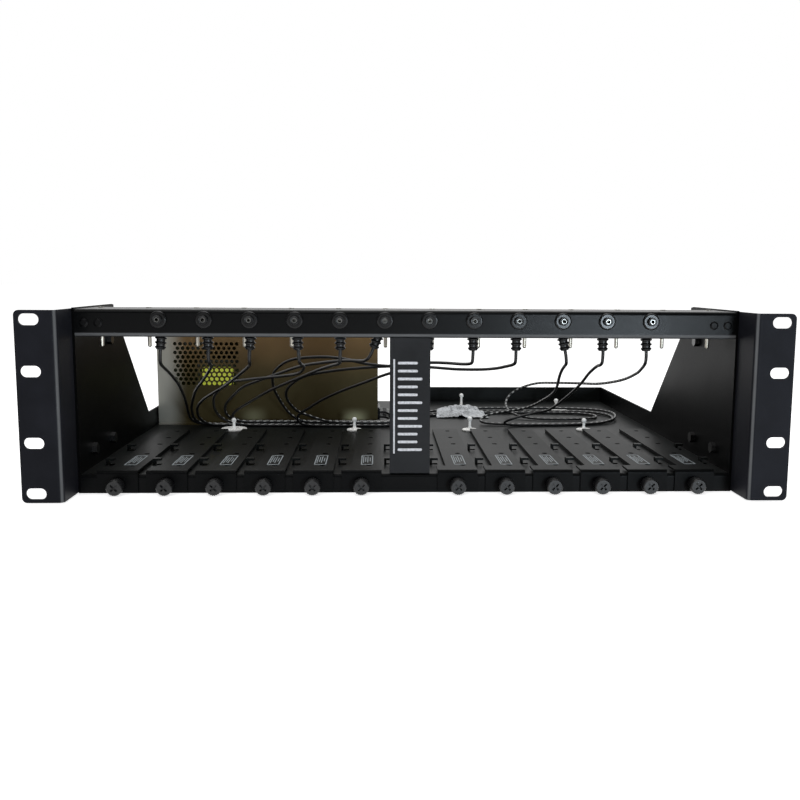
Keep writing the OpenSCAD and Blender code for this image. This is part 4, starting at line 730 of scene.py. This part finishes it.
class CoatSettings(bpy.types.PropertyGroup):
    """Colours of the finishes."""

    chassis: colour("Chassis", "Powder coat of the chassis", (0.0013, 0.0014, 0.0016))
    ears: colour("Ears", "Powder coat of the ears", (0.0105, 0.011, 0.0145))
    strut: colour("Strut", "Matt plate of the strut", (0.019, 0.0195, 0.021))
    # Painted highlight: the lighter colour of the rail's and ears' bends, standing in for light that the
    # bends catch, not for rubbing
    painted_highlight: colour("Rubbed bends", "Coat where its bends are rubbed", (0.125, 0.127, 0.13))
    plates: colour("Slot plates", "Coat of the slot plates", (0.0065, 0.0075, 0.0072))
    # Painted reflection: the supply's brown stands in for brown surroundings that the zinc mirrors
    zinc: colour("Supply", "Sheet of the power supply", (0.165, 0.1, 0.043))
    # Painted reflection: the paler colour of the supply's left side comes from bright surroundings mirrored
    # there, not from wear
    zinc_left_reflection: colour("Supply edge", "Worn left edge of the power supply", (0.31, 0.31, 0.28))
    nylon: colour("Posts", "Nylon of the cable posts", (0.9, 0.9, 0.88))
    tape: colour("Tape", "Tape of the transformer winding", (0.5, 0.56, 0.06))


class Builder:
    """What the operators share."""

    bl_options = {"REGISTER", "UNDO"}

    def done(self, made):
        """Stops the script where nothing was made."""
        if not made:
            raise RuntimeError(f"{self.bl_idname} made nothing")
        return {"FINISHED"}


class CHASSIS_OT_set_stage(Builder, bpy.types.Operator):
    """Sets the camera, the pale floor and the soft light"""

    bl_idname = "chassis.set_stage"
    bl_label = "Stage"

    def execute(self, context):
        settings = context.scene.chassis_stage
        context.scene.view_settings.view_transform = "Standard"
        self.add_camera(context)
        self.light_world(context, settings)
        self.add_floor(context, settings)
        soft = (
            ("key_light", (-0.25, -1.0, 1.5), 1.3, settings.key, (1, 1, 1)),
            ("fill_light", (-1.5, -0.9, 0.7), 1.0, settings.fill, (1, 1, 1)),
            ("top_light", (0.05, 0.4, 1.6), 1.2, settings.top, (1, 1, 1)),
            ("glint_light", (0.47, -1.5, 0.06), 0.22, settings.glint, (0.78, 0.9, 1)),
        )
        for name, where, size, power, tone in soft:
            light = bpy.data.lights.new(name, "AREA")
            light.shape = "DISK"
            light.size = size
            light.energy = power
            light.color = tone
            lamp = bpy.data.objects.new(name, light)
            lamp.location = where
            aim = Vector((0, 0, 0.06)) - lamp.location
            lamp.rotation_euler = aim.to_track_quat("-Z", "Y").to_euler()
            context.scene.collection.objects.link(lamp)
        return self.done(context.scene.camera)

    def add_camera(self, context):
        """Stands where the photographer stood: 0.795 m in front, looking slightly down."""
        yaw, pitch, roll = (math.radians(angle) for angle in (2.56, 7.69, -0.38))
        ahead = Vector((math.sin(yaw) * math.cos(pitch), math.cos(yaw) * math.cos(pitch), -math.sin(pitch)))
        level = Vector((math.cos(yaw), -math.sin(yaw), 0))
        down = ahead.cross(level)
        right = math.cos(roll) * level + math.sin(roll) * down
        up = math.sin(roll) * level - math.cos(roll) * down
        data = bpy.data.cameras.new("camera")
        data.lens = 42.97
        data.shift_x = -0.0265
        data.shift_y = 0.01
        data.clip_start = 0.05
        data.clip_end = 100
        camera = bpy.data.objects.new("camera", data)
        turned = Matrix((right, up, -ahead)).transposed().to_4x4()
        camera.matrix_world = Matrix.Translation((-0.02033, -0.79484, 0.14003)) @ turned
        context.scene.collection.objects.link(camera)
        context.scene.camera = camera

    def light_world(self, context, settings):
        """White where it is seen or mirrored, dimmer towards the front, and grey as a light."""
        world = bpy.data.worlds.new("studio")
        world.use_nodes = True
        context.scene.world = world
        sky = Shading(world.node_tree)
        direction = sky.node("ShaderNodeTexCoord", {}, {}, "Generated")
        mirrored = sky.along(1, direction).spread(-0.3, 0.2, settings.front, 1.0)
        camera = sky.node("ShaderNodeLightPath", {}, {}, "Is Camera Ray")
        glossy = sky.node("ShaderNodeLightPath", {}, {}, "Is Glossy Ray")
        clear = sky.node("ShaderNodeLightPath", {}, {}, "Is Transmission Ray")
        unseen = 1 - (camera + glossy + clear)
        background = world.node_tree.nodes["Background"]
        background.inputs["Color"].default_value = (1, 1, 1, 1)
        strength = camera + clear + glossy * mirrored + unseen * settings.sky
        sky.tree.links.new(strength.socket, background.inputs["Strength"])

    def add_floor(self, context, settings):
        floor_finish = Finish("floor", roughness=0.9, specular_ior_level=0.1, emission_strength=1.0)
        paper = floor_finish.noise(3.0, 3.0, 0.5)
        pale = settings.floor_colour
        floor_finish.tint(paper, [c * 0.99 for c in pale], pale)
        seen = floor_finish.node("ShaderNodeLightPath", {}, {}, "Is Camera Ray")
        mirrored = floor_finish.node("ShaderNodeLightPath", {}, {}, "Is Glossy Ray")
        clear = floor_finish.node("ShaderNodeLightPath", {}, {}, "Is Transmission Ray")
        lift = settings.floor_lift
        floor_finish.feed("Emission Color", floor_finish.mix(
            seen + mirrored + clear, (0, 0, 0, 1), (lift, lift, lift, 1)
        ))
        bm = bmesh.new()
        bmesh.ops.create_grid(bm, x_segments=8, y_segments=8, size=settings.floor_size / 2)
        mesh = as_mesh("floor", bm)
        mesh.materials.append(floor_finish.material)
        floor = bpy.data.objects.new("floor", mesh)
        floor.location.z = -0.2 * MM
        context.scene.collection.objects.link(floor)


class CHASSIS_OT_park_plugs(Builder, bpy.types.Operator):
    """Makes the right-angle plugs that are parked in the rail"""

    bl_idname = "chassis.park_plugs"
    bl_label = "Plugs"

    def execute(self, context):
        settings = context.scene.chassis_plugs
        moulding = rubber("plug_moulding", settings.moulding, 0.36, 0.4).material
        contact = turned_steel("plug_contact", settings.contact, 0.22).material
        made = []
        for number in BAYS:
            bm = bmesh.new()
            place = Matrix.Translation(plug_place(number))
            self.barrel(bm, place @ Matrix.Rotation(-math.pi / 2, 4, "X"))
            tilt = math.radians(PLUG_TURNS[number - 1])
            down = Vector((math.sin(tilt), 0, -math.cos(tilt)))
            root = Matrix.Translation((0, BODY_START + BODY_L * RELIEF_SHARE, 0))
            self.relief(bm, place @ root @ down.to_track_quat("Z", "Y").to_matrix().to_4x4(), settings.ribs)
            plug = link_piece(f"plug_{number}", as_mesh("plug", bm), "plug_black", 32, moulding, contact)
            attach(plug, CHASSIS)
            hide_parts("parked_plugs")
            made.append(plug)
        return self.done(made)

    def barrel(self, bm, place):
        """Barrel with its bore and contact, and the moulded body behind the rail."""
        tip = -BARREL_PROUD
        outline = (
            (0, tip + 9 * MM), (BORE_R, tip + 9 * MM), (BORE_R, tip + 0.5 * MM),
            (BORE_R + 0.15 * MM, tip + 0.15 * MM), (BORE_R + 0.45 * MM, tip + 0.15 * MM),
            (BORE_R + 0.5 * MM, tip + 0.6 * MM), (BARREL_R - 0.85 * MM, tip + 0.6 * MM),
            (BARREL_R - 0.75 * MM, tip + 0.06 * MM), (BARREL_R - 0.6 * MM, tip), (BARREL_R - 0.3 * MM, tip),
            (BARREL_R - 0.05 * MM, tip + 0.25 * MM), (BARREL_R, tip + 0.6 * MM),
            (BARREL_R, BODY_START - 0.05 * MM),
            (BODY_R - 0.9 * MM, BODY_START), (BODY_R - 0.2 * MM, BODY_START + 0.25 * MM),
            (BODY_R, BODY_START + 0.9 * MM), (BODY_R, BODY_START + BODY_L - 2 * MM),
            (BODY_R - 0.35 * MM, BODY_START + BODY_L - 0.9 * MM),
            (BODY_R - 1.2 * MM, BODY_START + BODY_L - 0.2 * MM), (BODY_R - 2.4 * MM, BODY_START + BODY_L),
            (0, BODY_START + BODY_L),
        )
        turn(bm, outline, place, 40, lambda radius: int(radius < BORE_R + 0.4 * MM))

    def relief(self, bm, place, ribs):
        """Tapered strain relief: thin fins with tapered rims, on a neck."""
        step = (RELIEF_REACH - BODY_R) / ribs
        outline = [(0, 0), (RELIEF_R, 0), (RELIEF_R, BODY_R - 0.6 * MM)]
        for rib in range(ribs):
            share = (rib + 1) / ribs
            radius = RELIEF_R + (RELIEF_TIP_R - RELIEF_R) * share
            low = BODY_R + rib * step
            outline += [
                (RELIEF_NECK_R, low - 0.1 * MM), (RELIEF_NECK_R, low + step * 0.22),
                (radius * 0.92, low + step * 0.34), (radius, low + step * 0.5),
                (radius * 0.94, low + step * 0.66), (RELIEF_NECK_R, low + step * 0.82),
            ]
        outline += [
            (RELIEF_NECK_R, RELIEF_REACH - 0.3 * MM), (RELIEF_NECK_R - 0.3 * MM, RELIEF_REACH),
            (0, RELIEF_REACH),
        ]
        turn(bm, outline, place, 28)


class CHASSIS_OT_lay_leads(Builder, bpy.types.Operator):
    """Lays the leads from the supply's gland to the plugs"""

    bl_idname = "chassis.lay_leads"
    bl_label = "Leads"

    def execute(self, context):
        settings = context.scene.chassis_leads
        jacket = lead_jacket(
            "lead_jacket", settings.jacket, settings.stripe, settings.pitch, settings.dash, settings.width
        ).material
        made = []
        for number, route in zip(BAYS, LEAD_ROUTES):
            path = lead_path(route, PATH_STEPS)
            mesh, length = tube("lead", path, settings.diameter / 2, LEAD_SIDES)
            lead = link_piece(f"lead_run_{number}", mesh, "lead_black", 50, jacket)
            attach(lead, CHASSIS)
            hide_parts(f"lead_{number}")
            made.append(lead)
        return self.done(made)


class CHASSIS_OT_label_plates(Builder, bpy.types.Operator):
    """Prints a plain framed mark on each slot plate"""

    bl_idname = "chassis.label_plates"
    bl_label = "Slot plate labels"

    def execute(self, context):
        settings = context.scene.chassis_print
        ink = print_ink("label_ink", settings.label_ink).material
        wide, long, line, thick = settings.label_width, settings.label_length, settings.line, settings.thick
        made = []
        for bay in BAYS:
            bm = bmesh.new()
            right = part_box(f"slot_plate_{bay}")[1].x
            middle = Vector((right - LABEL_SIDE, FRONT + LABEL_BACK, PLATE_HIGH.z))
            bars = [(0, s * (long - line) / 2, wide, line * 2) for s in (-1, 1)]
            bars += [(s * (wide - line) / 2, 0, line, long) for s in (-1, 1)]
            bars += [
                (x * wide, 0.04 * long, line * 0.8, long * share)
                for x, share in ((-0.3, 0.74), (-0.12, 0.5), (0.06, 0.66), (0.26, 0.4))
            ]
            for x, y, across, deep in bars:
                place = Matrix.Translation(middle + Vector((x, y, 0)))
                slab(bm, place, across, deep, thick, min(across, deep) * 0.3, 2)
            label = link_piece(f"plate_label_{bay}", as_mesh("plate_label", bm), "nylon_white", 30, ink)
            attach(label, f"slot_plate_{bay}")
            made.append(label)
        return self.done(made)


class CHASSIS_OT_print_strut(Builder, bpy.types.Operator):
    """Prints a plain ladder of twelve bars, one for each bay, on the strut"""

    bl_idname = "chassis.print_strut"
    bl_label = "Strut marks"

    def execute(self, context):
        settings = context.scene.chassis_print
        ink = print_ink("strut_ink", settings.ink).material
        middle = (STRUT_LOW + STRUT_HIGH) / 2
        face = Matrix.Translation((middle.x, STRUT_LOW.y, middle.z)) @ Matrix.Rotation(math.pi / 2, 4, "X")
        bm = bmesh.new()
        count = len(BAYS)
        for rung in range(count):
            up = (rung - (count - 1) / 2) * LADDER_STEP
            long = SHORT_BAR if rung % 3 else LONG_BAR
            place = face @ Matrix.Translation((LADDER_LEFT + long / 2, up, 0))
            slab(bm, place, long, BAR_T, settings.thick, 0.7 * MM)
        rule = face @ Matrix.Translation((RULE_LEFT, 0, 0))
        slab(bm, rule, RULE_T, count * LADDER_STEP, settings.thick, 0.5 * MM)
        marks = link_piece("strut_marks", as_mesh("strut_marks", bm), "nylon_white", 30, ink)
        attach(marks, CHASSIS)
        return self.done(marks)


class CHASSIS_OT_lay_foil(Builder, bpy.types.Operator):
    """Lays the crumpled film over the leads, in front of a cable post"""

    bl_idname = "chassis.lay_foil"
    bl_label = "Film"

    def execute(self, context):
        settings = context.scene.chassis_foil
        film = silver_film("silver_film", settings.film).material
        under = [point for route in LEAD_ROUTES[9:] for point in lead_path(route[:9], 6)]
        noise.seed_set(FILM_SEED)
        bm = bmesh.new()
        grid = []
        for j in range(FILM_CUTS + 1):
            row = []
            for i in range(FILM_CUTS + 1):
                u, v = i / FILM_CUTS, j / FILM_CUTS
                taper = 1 - 0.42 * v * v
                wave = Vector(noise.noise_vector(Vector((u * 3, v * 3, 4.0)))) * 2.2 * MM
                x = FILM_CORNER.x + settings.width * (0.5 + (u - 0.5) * taper) + wave.x
                y = FILM_CORNER.y + settings.depth * v + wave.y * min(1, (1 - v) * 4)
                row.append(bm.verts.new((x, y, self.height(x, y, u, v, under))))
            grid.append(row)
        for j in range(FILM_CUTS):
            for i in range(FILM_CUTS):
                bm.faces.new((grid[j][i], grid[j][i + 1], grid[j + 1][i + 1], grid[j + 1][i]))
        area = sum(face.calc_area() for face in bm.faces)
        mesh = as_mesh("film", bm)
        sheet = link_piece("film_sheet", mesh, "pin_steel", 12, film)
        skin = sheet.modifiers.new("thickness", "SOLIDIFY")
        skin.thickness = FILM_T
        skin.offset = 1.0
        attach(sheet, CHASSIS)
        side = math.sqrt(area * settings.width / settings.depth)
        area / side
        return self.done(sheet)

    def height(self, x, y, u, v, under):
        """Height of the film: clear of the leads under it, and raised in creases towards the post."""
        lift = FLOOR_Z + FILM_LIFT
        for lead in under:
            away = math.hypot(x - lead.x, y - lead.y)
            if away < FILM_REACH:
                lift = max(lift, lead.z + FILM_OVER_LEAD - max(0, away - 2.5 * MM) * 0.75)
        crumple = noise.hetero_terrain(Vector((x * 95, y * 95, 2.0)), 0.9, 2.1, 3, 0.4)
        ridge = abs(noise.noise(Vector((x * 160, y * 120, 7.0))))
        inside = min(u, 1 - u, v + 0.25, 1 - v + 0.3) * 4
        peak = math.exp(-((u - 0.52) / 0.28) ** 2 - ((v - 0.85) / 0.4) ** 2)
        return lift + min(1, inside) * (abs(crumple) * 0.7 + ridge * 2.6) * MM + peak * 0.8 * MM


class CHASSIS_OT_stand_posts(Builder, bpy.types.Operator):
    """Stands the white cable posts on the tray"""

    bl_idname = "chassis.stand_posts"
    bl_label = "Cable posts"

    def execute(self, context):
        nylon = moulded("nylon", context.scene.chassis_coats.nylon, 0.42, 0.5).material
        behind = PLATE_HIGH.y
        posts = [(POST_LARGE[0], behind + POST_GAP + LARGE_BASE_R, LARGE_BASE_R, POST_LARGE[1])]
        posts += [(x, behind + POST_GAP + SMALL_BASE_R, SMALL_BASE_R, long) for x, long in POSTS_SMALL]
        posts += [
            (x, behind + y * (TRAY_HIGH.y - behind), LARGE_BASE_R, long) for x, y, long in POSTS_REAR
        ]
        made = []
        for number, (across, y, base, long) in enumerate(posts, 1):
            bm = bmesh.new()
            place = Matrix.Translation((across * BODY_W, y, FLOOR_Z))
            self.post(bm, place, base, long * 2 * LARGE_BASE_R)
            post = link_piece(f"cable_post_{number}", as_mesh("cable_post", bm), "nylon_white", 32, nylon)
            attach(post, CHASSIS)
            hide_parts("cable_posts")
            made.append(post)
        return self.done(made)

    def post(self, bm, place, base, long):
        """A ribbed base, a flared foot, a stem and a ball."""
        top = POST_BASE_T + long
        outline = [
            (0, 0), (base - 0.3 * MM, 0), (base, 0.35 * MM), (base - 0.15 * MM, POST_BASE_T * 0.8),
            (base - 0.7 * MM, POST_BASE_T), (base - 1.5 * MM, POST_BASE_T),
            (base - 2.1 * MM, POST_BASE_T * 0.62), (3.1 * MM, POST_BASE_T * 0.62),
            (2.2 * MM, POST_BASE_T), (1.55 * MM, POST_BASE_T + 1.1 * MM), (1.2 * MM, POST_BASE_T + 2.2 * MM),
            (POST_STEM_R, top - 2 * MM),
        ]
        for k in range(8):
            angle = math.radians(-62 + 152 * k / 8)
            outline.append((POST_BALL_R * math.cos(angle), top + POST_BALL_R * math.sin(angle)))
        outline.append((0, top + POST_BALL_R))
        turn(bm, outline, place, 36)
        reach = base - 4.4 * MM
        for k in range(POST_RIBS):
            rib = place @ Matrix.Rotation(math.tau * k / POST_RIBS, 4, "Z")
            rib = rib @ Matrix.Translation((2.6 * MM + reach / 2, 0, POST_BASE_T * 0.5))
            slab(bm, rib, reach, 0.9 * MM, POST_BASE_T * 0.42, 0.3 * MM, 2)


class CHASSIS_OT_finish_parts(Builder, bpy.types.Operator):
    """Gives each part of the chassis its finish"""

    bl_idname = "chassis.finish_parts"
    bl_label = "Finishes"

    def execute(self, context):
        coats = context.scene.chassis_coats
        finishes = {
            "chassis_black": powder_coat("chassis_coat", coats.chassis, 0.4, 0.05),
            # Ears: a painted highlight along their bends
            "ear_black": powder_coat("ear_coat_painted_highlight", coats.ears, 0.46, 0.07, ear_bend_painted_highlight, coats.painted_highlight),
            # Slot plates: the front lip painted darker, a painted shade
            "plate_black": powder_coat("plate_coat_painted_shade", coats.plates, 0.42, 0.07, plate_lip_painted_shade, coats.chassis),
            "screw_black": black_oxide("screw_oxide", (0.003, 0.003, 0.0034), 0.4),
            "pin_steel": turned_steel("pin_turned", (0.6, 0.57, 0.5), 0.36),
            "rubber_black": rubber("grommet_rubber", (0.0016, 0.0016, 0.0019), 0.26, 0.27),
            "plug_black": rubber("plug_soft", (0.003, 0.003, 0.0034), 0.4, 0.2),
            "lead_black": rubber("lead_soft", (0.003, 0.003, 0.0034), 0.4, 0.25),
            "zinc_yellow": turned_steel("nut_zinc", (0.6, 0.55, 0.42), 0.3),
            # Supply: its brown, paler left side, olive bottom and two pale spots are painted reflection and
            # highlights
            "supply_zinc": zinc_sheet("supply_sheet_painted_reflection", coats.zinc, coats.zinc_left_reflection, 0.34),
            "board_green": circuit_board("board_mask", (0.012, 0.09, 0.03)),
            "ferrite": powder_coat("core_ferrite", (0.035, 0.035, 0.037), 0.6, 0.4),
            # Winding tape: a painted glow
            "winding_tape": wound_tape_painted_glow("winding_tape", coats.tape),
            "capacitor_sleeve": moulded("capacitor_sleeve", (0.008, 0.014, 0.05), 0.24, 0.5, 0.3),
            "sink_aluminium": turned_steel("sink_extruded", (0.66, 0.67, 0.68), 0.36),
            "terminal_green": moulded("terminal_nylon", (0.015, 0.11, 0.035), 0.4, 0.5),
            "inlet_black": moulded("inlet_plastic", (0.009, 0.009, 0.0095), 0.3, 0.5),
            "nylon_white": moulded("post_nylon", coats.nylon, 0.42, 0.5),
            "knob_black": moulded("knob_plastic", (0.006, 0.006, 0.0065), 0.34, 0.42),
        }
        special = {
            # Rail: a painted highlight along its lower bend
            "top_rail": powder_coat("rail_coat_painted_highlight", coats.chassis, 0.3, 0.11, rail_bend_painted_highlight, coats.painted_highlight),
            # Tray: its top painted lighter than its lip and the walls, painted light where it lies in shade
            "tray": powder_coat("tray_coat_painted_light", coats.plates, 0.4, 0.08, tray_lip_beside_painted_light, coats.chassis),
            "centre_strut": powder_coat("strut_coat", coats.strut, 0.5, 0.08),
            "ear_fasteners": powder_coat("fastener_coat", coats.chassis, 0.3, 0.5),
        }
        done = 0
        for part in frame["record"]["subparts"]:
            name = part["node"]
            node = frame["nodes"][name]
            finish = special.get(name) or finishes[part["material_slot"]]
            node.data.materials.clear()
            node.data.materials.append(finish.material)
            done += 1
        return self.done(done == len(frame["nodes"]))


class CHASSIS_PT_build(bpy.types.Panel):
    """Lists the steps that dress the chassis"""

    bl_idname = "CHASSIS_PT_build"
    bl_label = "Rack chassis"
    bl_space_type = "VIEW_3D"
    bl_region_type = "UI"
    bl_category = "Chassis"

    def draw(self, context):
        for name, group in SETTINGS:
            column = self.layout.column(heading=group.__doc__)
            for key in group.__annotations__:
                column.prop(getattr(context.scene, name), key)
        for step in STEPS:
            self.layout.operator(step.bl_idname)


SETTINGS = (
    ("chassis_stage", StageSettings),
    ("chassis_leads", LeadSettings),
    ("chassis_plugs", PlugSettings),
    ("chassis_print", PrintSettings),
    ("chassis_foil", FoilSettings),
    ("chassis_coats", CoatSettings),
)
STEPS = (
    CHASSIS_OT_set_stage,
    CHASSIS_OT_park_plugs,
    CHASSIS_OT_lay_leads,
    CHASSIS_OT_label_plates,
    CHASSIS_OT_print_strut,
    CHASSIS_OT_lay_foil,
    CHASSIS_OT_stand_posts,
    CHASSIS_OT_finish_parts,
)


def register():
    for name, group in SETTINGS:
        bpy.utils.register_class(group)
        setattr(bpy.types.Scene, name, bpy.props.PointerProperty(type=group))
    for step in (*STEPS, CHASSIS_PT_build):
        bpy.utils.register_class(step)


def unregister():
    for step in reversed((*STEPS, CHASSIS_PT_build)):
        bpy.utils.unregister_class(step)
    for name, group in reversed(SETTINGS):
        delattr(bpy.types.Scene, name)
        bpy.utils.unregister_class(group)


def main():
    """Registers the steps, runs them in order and writes both boxes for comparison."""
    register()
    for step in STEPS:
        group, name = step.bl_idname.split(".")
        getattr(getattr(bpy.ops, group), name)()


if __name__ == "__main__":
    main()
